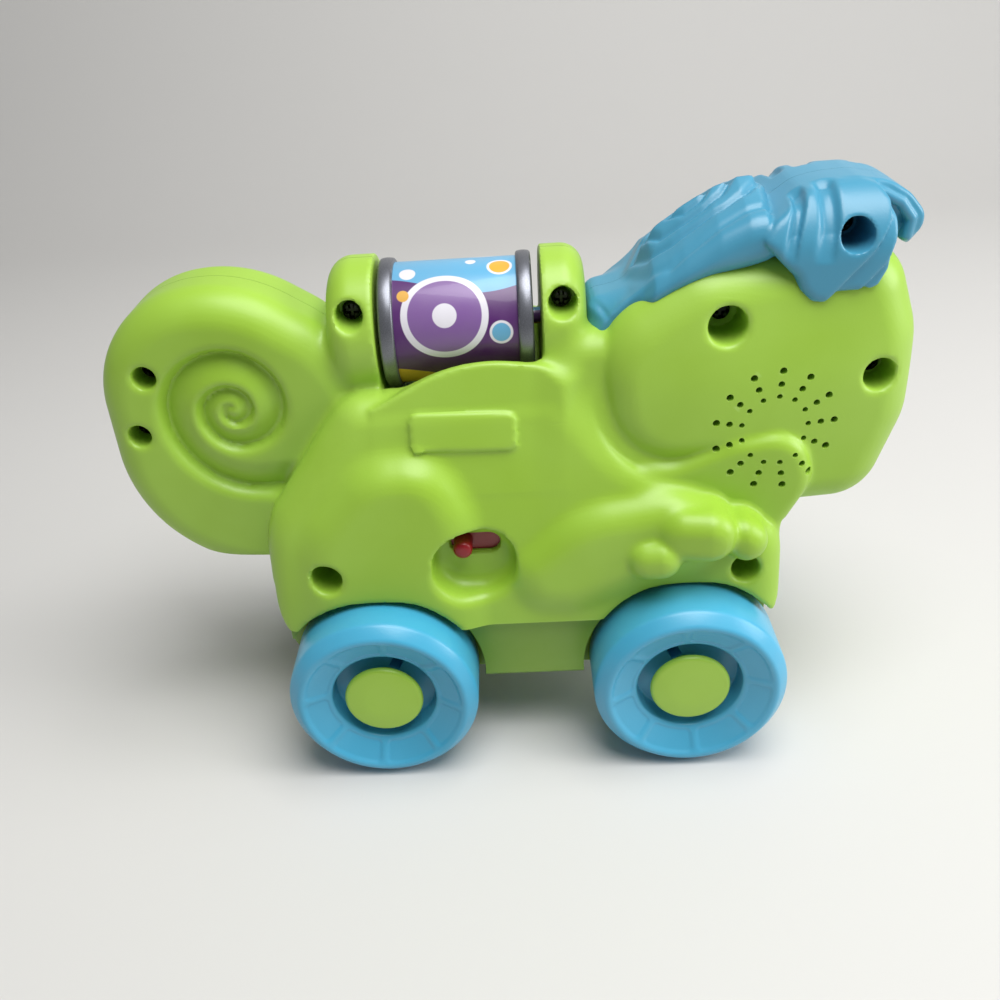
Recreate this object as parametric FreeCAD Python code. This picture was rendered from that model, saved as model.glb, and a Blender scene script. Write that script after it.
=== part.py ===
import FreeCAD, Part
import math
import os

# Rolling chameleon toy, in millimetres. X points to the head, Y to the toy's left side, Z up.
# The origin is on the floor, under the middle of the toy's length and width.
V = FreeCAD.Vector

# Running gear
wheel_radius = 29.0
wheel_sides = 40
cap_sides = 28
wheel_inner_y = 30.5
wheel_outer_y = 53.7
wheel_crest_radius = 25.4
wheel_shoulder_y = 49.6
wheel_recess_radius = 15.9
wheel_recess_y = 41.5
wheel_dish_y = 48.6
cap_radius = 12.0
cap_outer_y = 50.7
cap_chamfer = 1.1
rear_axle_x = -39.2
front_axle_x = 54.0
axle_radius = 2.0
axle_end_y = 40.4
running_gap = 0.05
press_gap = 0.02
slip = 0.1
housing_sag = 0.24
shortest_flat = 0.8

# Housing
wall = 2.2
seam_z = 48.0
pan_bottom_z = 24.0
body_half_width = 39.5
body_bend_z = 60.0
body_lean = 13.0
body_rim = 10.0
neck_half_width = 29.0
neck_bend_z = 92.0
neck_lean = 10.0
neck_rim = 7.0
chest_half_width = 29.3
chest_rim = 8.0
head_half_width = 29.6
head_rim = 12.0
cheek_start_x = 60.0
cheek_angle = 6.0
brow_start_z = 118.0
brow_angle = 9.0
tail_half_width = 17.5
tail_rim = 8.0
pan_half_width = 37.0
pan_chamfer = 3.0
well_radius = 32.5
well_inner_y = 29.0

# Drum between the pillars
drum_z = 131.2
drum_rear_x = -31.5
drum_front_x = 10.9
drum_ring_radius = 19.0
drum_sides = 40
drum_ring_width = 3.7
drum_barrel_radius = 17.5
journal_radius = 2.4
journal_length = 6.0
pillar_radius = 20.3
pillar_dome = 9.0
rear_pillar = (-47.0, -32.7)
front_pillar = (13.4, 26.4)
bay_radius = 21.2

# Slide switch in a dished recess of the right flank
dish_floor_y = 31.0
knob_x = -12.3
knob_z = 72.4
knob_radius = 2.8
knob_end_y = 35.5
knob_rim = 1.2
switch_travel = 8.0
slider_gap = 0.15
slider_plate = (12.6, 5.0, 1.5)
switch_face_y = -26.0
switch_case_half = 3.0
switch_opening_half = (1.6, 1.3)
switch_opening_depth = 1.6
lever_half = (1.0, 1.05)
lever_clearance = 0.3

# Loudspeaker and grille in the head
speaker_x = 77.7
speaker_z = 105.2
speaker_face_y = -23.1
speaker_sides = 20
# Rim, basket and magnet: start and end behind the face, radius
speaker_steps = [(0.0, 1.4, 20.0), (1.4, 6.0, 17.0), (6.0, 13.0, 10.0)]
grille_z = 104.3
grille_rays = 13
grille_phase = 86.0
grille_holes = [(9.6, 0.8), (13.2, 0.95), (17.0, 1.05)]

# Eye on the left side
eye_x = 80.0
eye_z = 127.0
eye_radius = 9.0
eye_seat_y = 24.0
eye_outer_y = 28.6
eye_sides = 28

# Screws of the housing: x, z, recess radius, y of the recess floor
screw_sites = [(-101.1, 124.9, 3.2, -8.0), (-106.7, 106.4, 3.2, -8.0), (-39.8, 139.2, 3.8, -8.0),
               (19.6, 139.6, 3.8, -8.0), (63.4, 134.7, 5.2, -12.0), (106.8, 116.8, 4.5, -12.0),
               (-54.1, 65.9, 4.0, -12.0), (70.7, 63.3, 4.0, -12.0)]
crest_screw_site = (95.7, 156.3, 4.8, -8.0)
pan_screws = [(-58, -16), (-58, 16), (68, -16), (68, 16)]
screw_radius = 1.4
screw_sides = 8
recess_sides = 16
screw_head_radius = 2.8
screw_head_height = 2.0
screw_reach = 12.0
pan_screw_seat_z = 38.0
pan_screw_bite = 9.0

# Circuit board and the parts on its inner side: corners as x0, z0, x1, z1, places as x, z
board_y = -20.0
board_thickness = 1.6
board_face_y = board_y + board_thickness
board_corners = (-34, 58, 18, 92)
chip_corners = (-26, 72, -14, 84)
chip_height = 1.6
capacitor_place = (-4, 82)
capacitor_radius = 3.1
capacitor_height = 8.4
sensor_place = (4, 70)
sensor_radius = 2.6
sensor_length = 9.0
part_sides = 8
post_radius = 2.6
board_posts = [(-31, 61), (15, 61), (-31, 89), (15, 89)]

# Battery compartment in the base pan
cell_radius = 5.25
cell_length = 43.5
cell_nub = 1.0
cell_nub_radius = 1.9
cell_pitch = 11.2
cell_z = 31.0
contact_thickness = 0.5
contact_half = 4.0
contact_rise = 5.0
spring_length = 3.0
spring_radius = 3.0
pocket_x = (-19.25, 29.25)
pocket_half = 17.6
pocket_top = 39.0
door_thickness = 1.8
door_lip = 1.8
door_gap = 0.15
door_tongue = 6.0
door_screw_x = 32.6
door_screw_head_height = 1.0
door_screw_reach = 7.0
pocket_wall = 3.6
pan_post_half = 4.6
bearing_half = 5.0
bearing_y = (20.0, 30.0)

# Outlines seen from the side: x, z and corner radius, counter-clockwise
flank_corners = [(-72.5, 30, 0), (82.5, 30, 0), (82.5, 81, 18), (57, 88, 50), (34, 103, 35),
                 (19, 122.5, 12), (-44, 121.5, 12), (-54, 108, 24), (-73, 84, 24)]
bay_wall_corners = [(-38, 90, 0), (20, 90, 0), (19, 122, 0), (13, 127.5, 8), (-9, 130.4, 45), (-36, 117, 0)]
bay_window_corners = [(-32.7, 117.8, 0), (-10, 131, 45), (13.4, 127.2, 0), (13.4, 180, 0), (-32.7, 180, 0)]
neck_corners = [(8, 36, 0), (60, 36, 0), (60, 100, 12), (45, 135, 12), (16, 133, 11)]
chest_corners = [(30, 36, 0), (82.5, 36, 0), (82.5, 72, 18), (90.5, 87, 12), (86, 104, 12),
                 (66, 102, 13), (56, 88, 16), (30, 86, 9)]
head_corners = [(76, 75.6, 13), (109, 75.6, 15), (118.9, 106, 24), (115.5, 133, 22), (99, 152, 16),
                (55, 150, 20), (27.5, 132, 22), (31.5, 91.5, 22), (66, 92, 14)]
# The tail's outline as straight tangents: direction in degrees, distance from the tail's centre, and
# radius of the corner before the tangent
tail_centre = (-76.7, 106.3)
tail_tangents = [(20, 39.0, 20), (57, 38.5, 36), (95, 41.7, 40), (140, 44.4, 32), (180, 40.7, 32),
                 (218, 40.2, 42), (255, 45.0, 42), (283, 49.0, 30)]
thigh_corners = [(-61, 40, 0), (-8.5, 40, 0), (-9, 86, 20), (-17, 104, 17), (-40, 103, 20), (-60, 80, 24)]
arm_corners = [(2, 68, 10), (5, 54, 10), (20, 52.5, 14), (58, 68, 16), (68, 90, 9), (50, 96.5, 20),
               (22, 89, 30)]
pan_corners = [(-69.5, 60, 0), (-69.5, 36, 12), (-58, 24, 12), (66, 24, 12), (79.5, 36, 12), (79.5, 60, 0)]
pan_room = [(-67.2, 60, 0), (-67.2, 37.2, 0), (-57, 26.2, 0), (65, 26.2, 0), (77.2, 37.2, 0), (77.2, 60, 0)]
dish_corners = [(-22, 58.5, 8), (3.5, 58.5, 8), (3.5, 85, 12.5), (-22, 85, 12.5)]
slot_corners = [(-16.2, 68.9, 3.45), (-1.0, 68.9, 3.45), (-1.0, 75.9, 3.45), (-16.2, 75.9, 3.45)]
limb_bend_z = 66.0
thigh_size = (42.2, 8.5, 4.5)
arm_size = (42.8, 6.0, 5.5)
finger_rim = 4.0
# Fingers: ends of the middle line, radius and reach from the mid-plane
fingers = [((59.5, 76.5), (54.5, 80.5), 8.3, 44.0), ((69.5, 78.5), (71.0, 77.5), 6.6, 42.5),
           ((38.5, 69.0), (44.5, 69.5), 6.3, 44.0)]
# Hollows inside the halves, straight-sided
trunk_room = [(-47.5, 40, 0), (64, 40, 0), (64, 79, 0), (34, 101, 0), (22, 106, 0), (-44, 106, 0),
              (-58, 90, 0), (-61, 75, 0), (-47.5, 75, 0)]
head_room = [(48, 78, 0), (84, 78, 0), (98.4, 88, 0), (98.4, 114, 0), (90, 126, 0), (57, 126, 0), (44, 112, 0)]
tail_room = [(-96, 92, 0), (-82, 77, 0), (-50, 78, 0), (-50, 118, 0), (-64, 136, 0), (-86, 136, 0),
             (-95, 122, 0)]
tail_room_half = 13.6
# Crest: tuft on the forehead, leaf along the head, frill at the neck
tuft_corners = [(84, 137.5, 7), (108, 139.5, 7), (113, 158, 8), (105, 168.3, 10), (77, 168.3, 7.5),
                (70, 160, 7), (75, 152, 10)]
leaf_corners = [(36, 141, 3), (47, 143.5, 10), (64, 155.5, 10), (84, 154, 3), (81, 165, 4), (70, 167.5, 9),
                (58, 162.5, 20), (41, 148.5, 5)]
# Slopes of the crest's upper side: two points of the ridge (x, z), its distance from the mid-plane,
# fall in degrees
tuft_slope = ((70, 168.3), (113, 168.3), 9.5, 47.0)
leaf_slopes = [((44, 151.5), (60, 164.0), 4.0, 24.0), ((60, 164.0), (76, 167.5), 4.0, 22.0)]
frill_corners = [(26.2, 128.5, 4.5), (34.5, 126, 4.5), (45, 145, 4.5), (28, 143.5, 5)]
# The tuft's lower corners, below this z, hang this much lower on its outer side
tuft_hang = (145.0, 7.0)
tuft_half_width = 26.6
tuft_rim = 7.5
leaf_half_width = 22.5
leaf_rim = 4.5
frill_half_width = 17.0
frill_rim = 4.0

# Spiral relief of the tail: radii of quarter turns that run into each other
spiral_start = (-72.5, 86.0)
spiral_lead_in = 14.0
spiral_radii = [25.5, 19.5, 16, 14, 10.5, 8.7, 6.3, 5, 3.6]
spiral_half_width = 2.0
spiral_depth = 1.9


def flats(radius, turn, sag):
    """How many flats a round stretch gets, so that none stands off its arc by more than the sag."""
    return max(1, math.ceil(turn / (2 * math.acos(1 - sag / radius))))


def rounded(corners, sag):
    """Points of an outline whose corners are rounded by arcs, each divided into flats."""
    points = []
    for i, (u, v, radius) in enumerate(corners):
        here = V(u, v, 0)
        if radius == 0:
            points.append(here)
            continue
        back = (V(*corners[i - 1][:2], 0) - here).normalize()
        ahead = (V(*corners[(i + 1) % len(corners)][:2], 0) - here).normalize()
        half = back.getAngle(ahead) / 2
        turn = math.pi - 2 * half
        centre = here + (back + ahead).normalize() * (radius / math.sin(half))
        start = here + back * (radius / math.tan(half)) - centre
        sense = 1.0 if ahead.x * back.y - ahead.y * back.x > 0 else -1.0
        steps = flats(radius, turn, sag)
        for k in range(steps + 1):
            angle = sense * turn * k / steps
            points.append(centre + V(start.x * math.cos(angle) - start.y * math.sin(angle),
                                     start.x * math.sin(angle) + start.y * math.cos(angle), 0))
    return [p for i, p in enumerate(points) if (p - points[i - 1]).Length > shortest_flat]


def loop_face(points):
    return Part.Face(Part.makePolygon(points + points[:1]))


def side_prism(corners, y0, y1):
    return loop_face([V(p.x, y0, p.y) for p in rounded(corners, housing_sag)]).extrude(V(0, y1 - y0, 0))


def box(x0, x1, y0, y1, z0, z1):
    return Part.makeBox(x1 - x0, y1 - y0, z1 - z0, V(x0, y0, z0))


def closed(faces):
    """The solid inside a set of flat faces."""
    solid = Part.makeSolid(Part.makeShell(faces))
    if solid.Volume < 0:
        solid.reverse()
    return solid


def circle(radius, sides):
    """Corners of a regular outline round the origin, counter-clockwise."""
    angles = [math.tau * (k + 0.5) / sides for k in range(sides)]
    return [V(radius * math.cos(angle), radius * math.sin(angle), 0) for angle in angles]


def rod(sides, radius, base, direction, length):
    """A round piece or hole as a prism with flats."""
    turn = FreeCAD.Rotation(V(0, 0, 1), direction)
    return loop_face([base + turn.multVec(p) for p in circle(radius, sides)]).extrude(direction * length)


def rod_x(radius, x0, x1, sides):
    """A rod on the drum's axis."""
    return rod(sides, radius, V(x0, 0, drum_z), V(1, 0, 0), x1 - x0)


def rod_y(radius, y0, y1, x, z, sides):
    return rod(sides, radius, V(x, y0, z), V(0, 1, 0), y1 - y0)


def clear_radius(radius, sides):
    """Radius across corners of a hole whose flats clear a round shaft."""
    return (radius + running_gap) / math.cos(math.pi / sides)


def mirrored(shape):
    return shape.mirror(V(0, 0, 0), V(0, 1, 0))


def both_sides(shape):
    return [shape, mirrored(shape)]


def inset(points, distance):
    """The outline moved inwards by a distance, each of its sides staying parallel."""
    moved = []
    for i, here in enumerate(points):
        before = (here - points[i - 1]).normalize()
        after = (points[(i + 1) % len(points)] - here).normalize()
        n1, n2 = V(-before.y, before.x, 0), V(-after.y, after.x, 0)
        moved.append(here + (n1 + n2) * (distance / (1 + n1.dot(n2))))
    return moved


def stacked(rings):
    """The solid between loops of flat-sided rings that follow each other."""
    faces = [loop_face(rings[0]), loop_face(rings[-1])]
    for low, high in zip(rings, rings[1:]):
        for k in range(len(low)):
            faces.append(loop_face([low[k - 1], low[k], high[k], high[k - 1]]))
    return closed(faces)


def softened(points, place, start, end, rim, bands=3):
    """A prism from start to end whose end rim is rounded by flat bands that touch the rounding from outside.

    The outline runs counter-clockwise; place puts a point of it at a distance along the prism."""
    half = math.pi / 4 / (bands + 1)
    rings = [[place(p, start) for p in points]]
    for j in range(bands + 1):
        angle = half * (2 * j + 1)
        depth = rim * (1 - math.sin(angle) / math.cos(half))
        ring = inset(points, rim * (1 - math.cos(angle) / math.cos(half)))
        rings.append([place(p, end - math.copysign(depth, end - start)) for p in ring])
    return stacked(rings)


# The right half is modelled from the mid-plane out to negative Y

def pad(corners, half_width, rim, bands=3, inner_y=0.0):
    """An outline out to a half width, with a softened outer rim."""
    if rim == 0:
        return side_prism(corners, -half_width, inner_y)
    outline = rounded(corners, housing_sag)
    return softened(outline, lambda p, y: V(p.x, y, p.y), inner_y, -half_width, rim, bands)


def leaning_pad(corners, half_width, bend_z, angle, rim, bands=3):
    """A pad that is upright up to the bend and leans in above it."""
    body = pad(corners, half_width, rim, bands, 30.0)
    body.rotate(V(0, -half_width, bend_z), V(1, 0, 0), -angle)
    return body.common(box(-200, 200, -half_width, 0, -20, 200))


def tail_corners():
    """Corners where neighbouring tangents of the tail meet."""
    corners = []
    for i, (angle, q, radius) in enumerate(tail_tangents):
        before, p, other = tail_tangents[i - 1]
        a, b = math.radians(before), math.radians(angle)
        x = (p * math.sin(b) - q * math.sin(a)) / math.sin(b - a)
        z = (q * math.cos(a) - p * math.cos(b)) / math.sin(b - a)
        corners.append((tail_centre[0] + x, tail_centre[1] + z, radius))
    return corners


def head_blank():
    """Head: its side draws in towards the snout and towards the brow."""
    body = pad(head_corners, head_half_width, head_rim)
    cheek = box(0, 100, -60, -head_half_width, 0, 200)
    cheek.translate(V(cheek_start_x, 0, 0))
    cheek.rotate(V(cheek_start_x, -head_half_width, 0), V(0, 0, 1), cheek_angle)
    brow = box(-100, 200, -60, -head_half_width, 0, 100)
    brow.translate(V(0, 0, brow_start_z))
    brow.rotate(V(0, -head_half_width, brow_start_z), V(1, 0, 0), -brow_angle)
    return body.cut([cheek, brow])


def pillar(span, outward):
    """Round pillar on the drum's axis, domed on its outer end."""
    x0, x1 = span
    start, end = (x0, x1) if outward > 0 else (x1, x0)
    outline = circle(pillar_radius, flats(pillar_radius, math.tau, housing_sag))
    disc = softened(outline, lambda p, x: V(x, p.x, drum_z + p.y), start, end, pillar_dome)
    return disc.common(box(-200, 200, -60, 0, 0, 200))


def lobe(start, end, radius):
    """Corners of a lobe of constant width with round ends."""
    along = V(end[0] - start[0], end[1] - start[1], 0)
    along.normalize()
    across = V(-along.y, along.x, 0) * radius
    reach = along * radius
    a, b = V(*start, 0) - reach, V(*end, 0) + reach
    spots = [a - across, b - across, b + across, a + across]
    return [(spot.x, spot.y, radius - 1e-3) for spot in spots]


def limbs():
    """Thigh, arm, two fingers and thumb, raised on the flank."""
    pieces = []
    for corners, (half_width, lean, rim) in ((thigh_corners, thigh_size), (arm_corners, arm_size)):
        pieces.append(leaning_pad(corners, half_width, limb_bend_z, lean, rim))
    for start, end, radius, reach in fingers:
        pieces.append(pad(lobe(start, end, radius), reach, finger_rim, 1))
    return pieces


def spiral_path():
    """Points of the spiral: a straight lead-in, then quarter turns divided into flats."""
    here = V(spiral_start[0], 0, spiral_start[1])
    heading = V(-1, 0, 0)
    points = [here - heading * spiral_lead_in, here]
    for radius in spiral_radii:
        inward = V(heading.z, 0, -heading.x)
        centre = here + inward * radius
        steps = flats(radius, math.pi / 2, housing_sag)
        for k in range(1, steps + 1):
            angle = math.pi / 2 * k / steps
            points.append(centre - inward * (radius * math.cos(angle)) + heading * (radius * math.sin(angle)))
        here = points[-1]
        heading = inward
    return points


def spiral_groove():
    """V-shaped groove of the tail, mitred at each point of the spiral."""
    path = spiral_path()
    sections = []
    for i, here in enumerate(path):
        before = (here - path[i - 1]).normalize() if i else (path[1] - here).normalize()
        after = (path[i + 1] - here).normalize() if i + 1 < len(path) else before
        across = (V(-before.z, 0, before.x) + V(-after.z, 0, after.x)).normalize()
        reach = spiral_half_width / across.dot(V(-before.z, 0, before.x))
        top = V(0, -tail_half_width - slip, 0)
        sections.append([here + across * reach + top, here - across * reach + top,
                         here + V(0, spiral_depth - tail_half_width, 0)])
    return stacked(sections)


def wells(radius, inner_y):
    sides = flats(radius, math.tau, housing_sag)
    return [rod_y(radius, -70, -inner_y, x, wheel_radius, sides) for x in (rear_axle_x, front_axle_x)]


def half_shell():
    """What both halves share, modelled on the right side."""
    body = leaning_pad(flank_corners, body_half_width, body_bend_z, body_lean, body_rim)
    parts = [leaning_pad(bay_wall_corners, body_half_width - 0.3, body_bend_z, body_lean, 0),
             leaning_pad(neck_corners, neck_half_width, neck_bend_z, neck_lean, neck_rim, 1),
             pad(chest_corners, chest_half_width, chest_rim, 1),
             head_blank(), pad(tail_corners(), tail_half_width, tail_rim),
             pillar(rear_pillar, -1), pillar(front_pillar, 1)]
    body = body.fuse(parts + limbs())
    bay_sides = flats(bay_radius, math.tau, housing_sag)
    bore = clear_radius(journal_radius, screw_sides)
    cuts = [rod_x(bay_radius, rear_pillar[1], front_pillar[0], bay_sides),
            side_prism(bay_window_corners, -60, 0),
            rod_x(bore, rear_pillar[1] - journal_length - 1, rear_pillar[1], screw_sides),
            rod_x(bore, front_pillar[0], front_pillar[0] + journal_length + 1, screw_sides),
            box(-200, 200, -100, 100, -50, seam_z), spiral_groove()]
    cuts += wells(well_radius, well_inner_y)
    cuts += [side_prism(corners, -60, 0) for corners in (tuft_corners, leaf_corners, frill_corners)]
    for x, y in pan_screws:
        cuts.append(rod(screw_sides, screw_radius + slip, V(x, y, seam_z - 1), V(0, 0, 1), pan_screw_bite + 2))
    upper = leaning_pad(trunk_room, body_half_width - wall, body_bend_z, body_lean, 0)
    upper = upper.cut(box(-100, 100, -60, -well_inner_y + wall, 0, wheel_radius + well_radius + wall))
    rooms = [upper, side_prism(head_room, speaker_face_y - slip, 0), side_prism(tail_room, -tail_room_half, 0)]
    return body.cut(cuts), rooms


def right_shell():
    body, rooms = half_shell()
    (x0, z0, r0), (x1, z1, r1) = dish_corners[0], dish_corners[2]
    kept = [box(x0 - wall, x1 + wall, -60, -dish_floor_y + wall, z0 - wall, z1 + wall)]
    kept += [rod(6, post_radius, V(x, board_y, z), V(0, -1, 0), 30) for x, z in board_posts]
    body = body.cut([rooms[0].cut(kept)] + rooms[1:])
    holes = [side_prism(dish_corners, -60, -dish_floor_y), side_prism(slot_corners, -60, 0)]
    for x, z, radius, floor_y in screw_sites:
        holes.append(rod_y(radius, -60, floor_y, x, z, recess_sides))
        holes.append(rod(screw_sides, screw_radius + slip, V(x, floor_y, z), V(0, 1, 0), 20))
    for ray in range(grille_rays):
        angle = math.radians(grille_phase + 360 * ray / grille_rays)
        for reach, radius in grille_holes:
            middle = V(speaker_x + reach * math.cos(angle), -45, grille_z + reach * math.sin(angle))
            holes.append(rod(6, radius, middle, V(0, 1, 0), 30))
    return body.cut(holes).removeSplitter()


def left_shell():
    body, rooms = half_shell()
    body = mirrored(body.cut(rooms))
    holes = [rod_y(eye_radius + slip, eye_seat_y, 60, eye_x, eye_z, eye_sides)]
    for x, z, radius, floor_y in screw_sites:
        holes.append(rod(screw_sides, screw_radius + slip, V(x, 0, z), V(0, 1, 0), screw_reach + 1))
    return body.cut(holes).removeSplitter()


def base_pan():
    """Tray with wheel wells, axle bearings and the battery compartment."""
    half, low = pan_half_width, pan_bottom_z
    section = [V(0, -half, 60), V(0, -half, low + pan_chamfer), V(0, pan_chamfer - half, low),
               V(0, half - pan_chamfer, low), V(0, half, low + pan_chamfer), V(0, half, 60)]
    tube = Part.Face(Part.makePolygon(section + [section[0]])).extrude(V(300, 0, 0))
    tube.translate(V(-150, 0, 0))
    outer = side_prism(pan_corners, -60, 60).common(tube)
    x0, x1 = pocket_x
    inner_half = well_inner_y - wall
    room = side_prism(pan_room, -inner_half, inner_half)
    side_room = box(rear_axle_x + well_radius + wall, front_axle_x - well_radius - wall,
                    wall - half, half - wall, low + wall, 60)
    kept = [box(x0 - pocket_wall, x1 + door_tongue + wall,
                -pocket_half - pocket_wall, pocket_half + pocket_wall, low, pocket_top + wall)]
    for x in (rear_axle_x, front_axle_x):
        kept += both_sides(box(x - bearing_half, x + bearing_half, -bearing_y[1], -bearing_y[0], low,
                               wheel_radius + bearing_half))
    for x, y in pan_screws:
        kept.append(box(x - pan_post_half, x + pan_post_half, y - pan_post_half, y + pan_post_half,
                        low, seam_z))
    cuts = [box(-200, 200, -100, 100, seam_z, 100), room.fuse(side_room).cut(kept)]
    for well in wells(well_radius, well_inner_y):
        cuts += both_sides(well)
    cuts.append(box(x0, x1, -pocket_half, pocket_half, 20, pocket_top))
    cuts.append(box(x0 - door_lip, x1 + door_tongue, -pocket_half - door_lip, pocket_half + door_lip, 20,
                    low + door_thickness))
    cuts.append(rod(screw_sides, screw_radius + slip, V(door_screw_x, 0, low), V(0, 0, 1),
                    door_screw_reach + 2))
    for x in (rear_axle_x, front_axle_x):
        cuts.append(rod_y(clear_radius(axle_radius, screw_sides), -60, 60, x, wheel_radius, screw_sides))
    for x, y in pan_screws:
        cuts.append(rod(screw_sides, screw_head_radius + 0.6, V(x, y, 0), V(0, 0, 1), pan_screw_seat_z))
        cuts.append(rod(screw_sides, screw_radius + slip, V(x, y, 0), V(0, 0, 1), 60))
    return outer.cut(cuts).removeSplitter()


def battery_door():
    """Lid of the battery compartment, held by one screw in its tongue."""
    x0, x1 = pocket_x[0] - door_lip + door_gap, pocket_x[1] + door_tongue - door_gap
    half = pocket_half + door_lip - door_gap
    lid = box(x0, x1, -half, half, pan_bottom_z, pan_bottom_z + door_thickness)
    start, up = V(door_screw_x, 0, pan_bottom_z - 1), V(0, 0, 1)
    sink = rod(screw_sides, screw_head_radius + slip, start, up, door_screw_head_height + 1)
    return lid.cut([sink, rod(screw_sides, screw_radius + slip, start, up, door_thickness + 2)])


def battery_door_screw():
    seat = V(door_screw_x, 0, pan_bottom_z + door_screw_head_height)
    return screw(seat, V(0, 0, 1), door_screw_reach, door_screw_head_height)


def spring_seat(row):
    """Face of the contact plate that carries a cell's spring."""
    x = pocket_x[0] + contact_thickness if row else pocket_x[1] - contact_thickness
    return V(x, row * cell_pitch, cell_z)


def batteries():
    """Three cells side by side, the middle one turned round."""
    cells = []
    for row in (-1, 0, 1):
        facing = 1 if row else -1
        along = V(facing, 0, 0)
        start = spring_seat(row) + along * spring_length
        can = rod(12, cell_radius, start, along, cell_length)
        cells.append(can.fuse(rod(6, cell_nub_radius, start + along * cell_length, along, cell_nub)))
    return Part.makeCompound(cells)


def battery_contacts():
    x0, x1 = pocket_x
    plates = []
    for row in (-1, 0, 1):
        y = row * cell_pitch
        for x in (x0, x1 - contact_thickness):
            plates.append(box(x, x + contact_thickness, y - contact_half, y + contact_half,
                              cell_z - contact_half, cell_z + contact_rise))
    return Part.makeCompound(plates)


def battery_springs():
    """One conical spring behind each cell, as a plain six-sided plug of its outer size."""
    springs = []
    for row in (-1, 0, 1):
        springs.append(rod(6, spring_radius, spring_seat(row), V(1 if row else -1, 0, 0), spring_length))
    return Part.makeCompound(springs)


def screw(seat, direction, reach, head_height=screw_head_height):
    """A pan-head screw: its head stands on the seat and its shank runs along the direction."""
    head = rod(screw_sides, screw_head_radius, seat - direction * head_height, direction, head_height)
    return head.fuse(rod(screw_sides, screw_radius, seat, direction, reach))


def shell_screws():
    return Part.makeCompound([screw(V(x, floor_y, z), V(0, 1, 0), screw_reach - floor_y)
                              for x, z, radius, floor_y in screw_sites])


def chassis_screws():
    reach = seam_z + pan_screw_bite - pan_screw_seat_z
    return Part.makeCompound([screw(V(x, y, pan_screw_seat_z), V(0, 0, 1), reach) for x, y in pan_screws])


def circuit_board():
    x0, z0, x1, z1 = board_corners
    return box(x0, x1, board_y, board_y + board_thickness, z0, z1)


def board_chip():
    x0, z0, x1, z1 = chip_corners
    return box(x0, x1, board_face_y, board_face_y + chip_height, z0, z1)


def board_capacitor():
    x, z = capacitor_place
    return rod(part_sides, capacitor_radius, V(x, board_face_y, z), V(0, 1, 0), capacitor_height)


def shake_sensor():
    """Ball sensor that lies along the board."""
    x, z = sensor_place
    start = V(x, board_face_y + sensor_radius + slip, z)
    return rod(part_sides, sensor_radius, start, V(1, 0, 0), sensor_length)


def slide_switch():
    half = switch_case_half
    case = box(knob_x - half, knob_x + switch_travel + half, switch_face_y, board_y,
               knob_z - half, knob_z + half)
    half_length, half_height = switch_opening_half
    opening = box(knob_x - half_length, knob_x + switch_travel + half_length, switch_face_y - 1,
                  switch_face_y + switch_opening_depth, knob_z - half_height, knob_z + half_height)
    return case.cut(opening)


def switch_slider():
    """Slider: plate that closes the slot from behind, round knob through it, lever into the switch."""
    front = -dish_floor_y + wall + slider_gap
    half_length, half_height, thickness = slider_plate
    plate = box(knob_x - half_length, knob_x + half_length, front, front + thickness,
                knob_z - half_height, knob_z + half_height)
    knob = softened(circle(knob_radius, recess_sides), lambda p, y: V(knob_x + p.x, y, knob_z + p.y),
                    front, -knob_end_y, knob_rim, 1)
    half_length, half_height = lever_half
    end = switch_face_y + switch_opening_depth - lever_clearance
    lever = box(knob_x - half_length, knob_x + half_length, front + thickness, end,
                knob_z - half_height, knob_z + half_height)
    return plate.fuse([knob, lever])


def turned(points, sides):
    """A body turned about the Y axis, from radius and y pairs that run from one end face to the other."""
    rings = []
    for radius, y in points:
        rings.append([V(p.x, y, p.y) for p in circle(radius / math.cos(math.pi / sides), sides)])
    return stacked(rings)


def wheel():
    """Left wheel at the origin: tread, rim crest, dished face, round recess and blind bore."""
    body = turned([(wheel_radius, wheel_inner_y), (wheel_radius, wheel_shoulder_y),
                   (wheel_crest_radius, wheel_outer_y), (wheel_recess_radius, wheel_dish_y),
                   (wheel_recess_radius, wheel_recess_y)], wheel_sides)
    bore = (axle_radius + press_gap) / math.cos(math.pi / screw_sides)
    return body.cut(rod_y(bore, wheel_inner_y - 1, axle_end_y + slip, 0, 0, screw_sides))


def hub_cap():
    """Cap in the middle of the wheel's recess."""
    return turned([(cap_radius, wheel_recess_y + press_gap), (cap_radius, cap_outer_y - cap_chamfer),
                   (cap_radius - cap_chamfer, cap_outer_y)], cap_sides)


def on_axle(shape, x, side):
    """A piece of the left end of an axle, put in its place on either side."""
    piece = shape if side > 0 else mirrored(shape)
    piece.translate(V(x, 0, wheel_radius))
    return piece


def axle(x):
    return Part.makeCylinder(axle_radius, 2 * axle_end_y, V(x, -axle_end_y, wheel_radius), V(0, 1, 0))


def drum_ring(outer_x, inward):
    """Silver end of the drum with its journal."""
    along = V(inward, 0, 0)
    start = V(outer_x, 0, drum_z)
    ring = rod(drum_sides, drum_ring_radius, start, along, drum_ring_width)
    return ring.fuse(Part.makeCylinder(journal_radius, journal_length, start, along * -1))


def drum_barrel():
    return rod_x(drum_barrel_radius, drum_rear_x + drum_ring_width, drum_front_x - drum_ring_width, drum_sides)


def speaker():
    """Speaker: rim, tapered basket and magnet."""
    rounds = [rod(speaker_sides, radius, V(speaker_x, speaker_face_y + y0, speaker_z), V(0, 1, 0), y1 - y0)
              for y0, y1, radius in speaker_steps]
    return rounds[0].fuse(rounds[1:])


def lowered(corners, limit_z, drop):
    """An outline whose lower corners are moved down."""
    return [(x, z - drop if z < limit_z else z, radius) for x, z, radius in corners]


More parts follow.
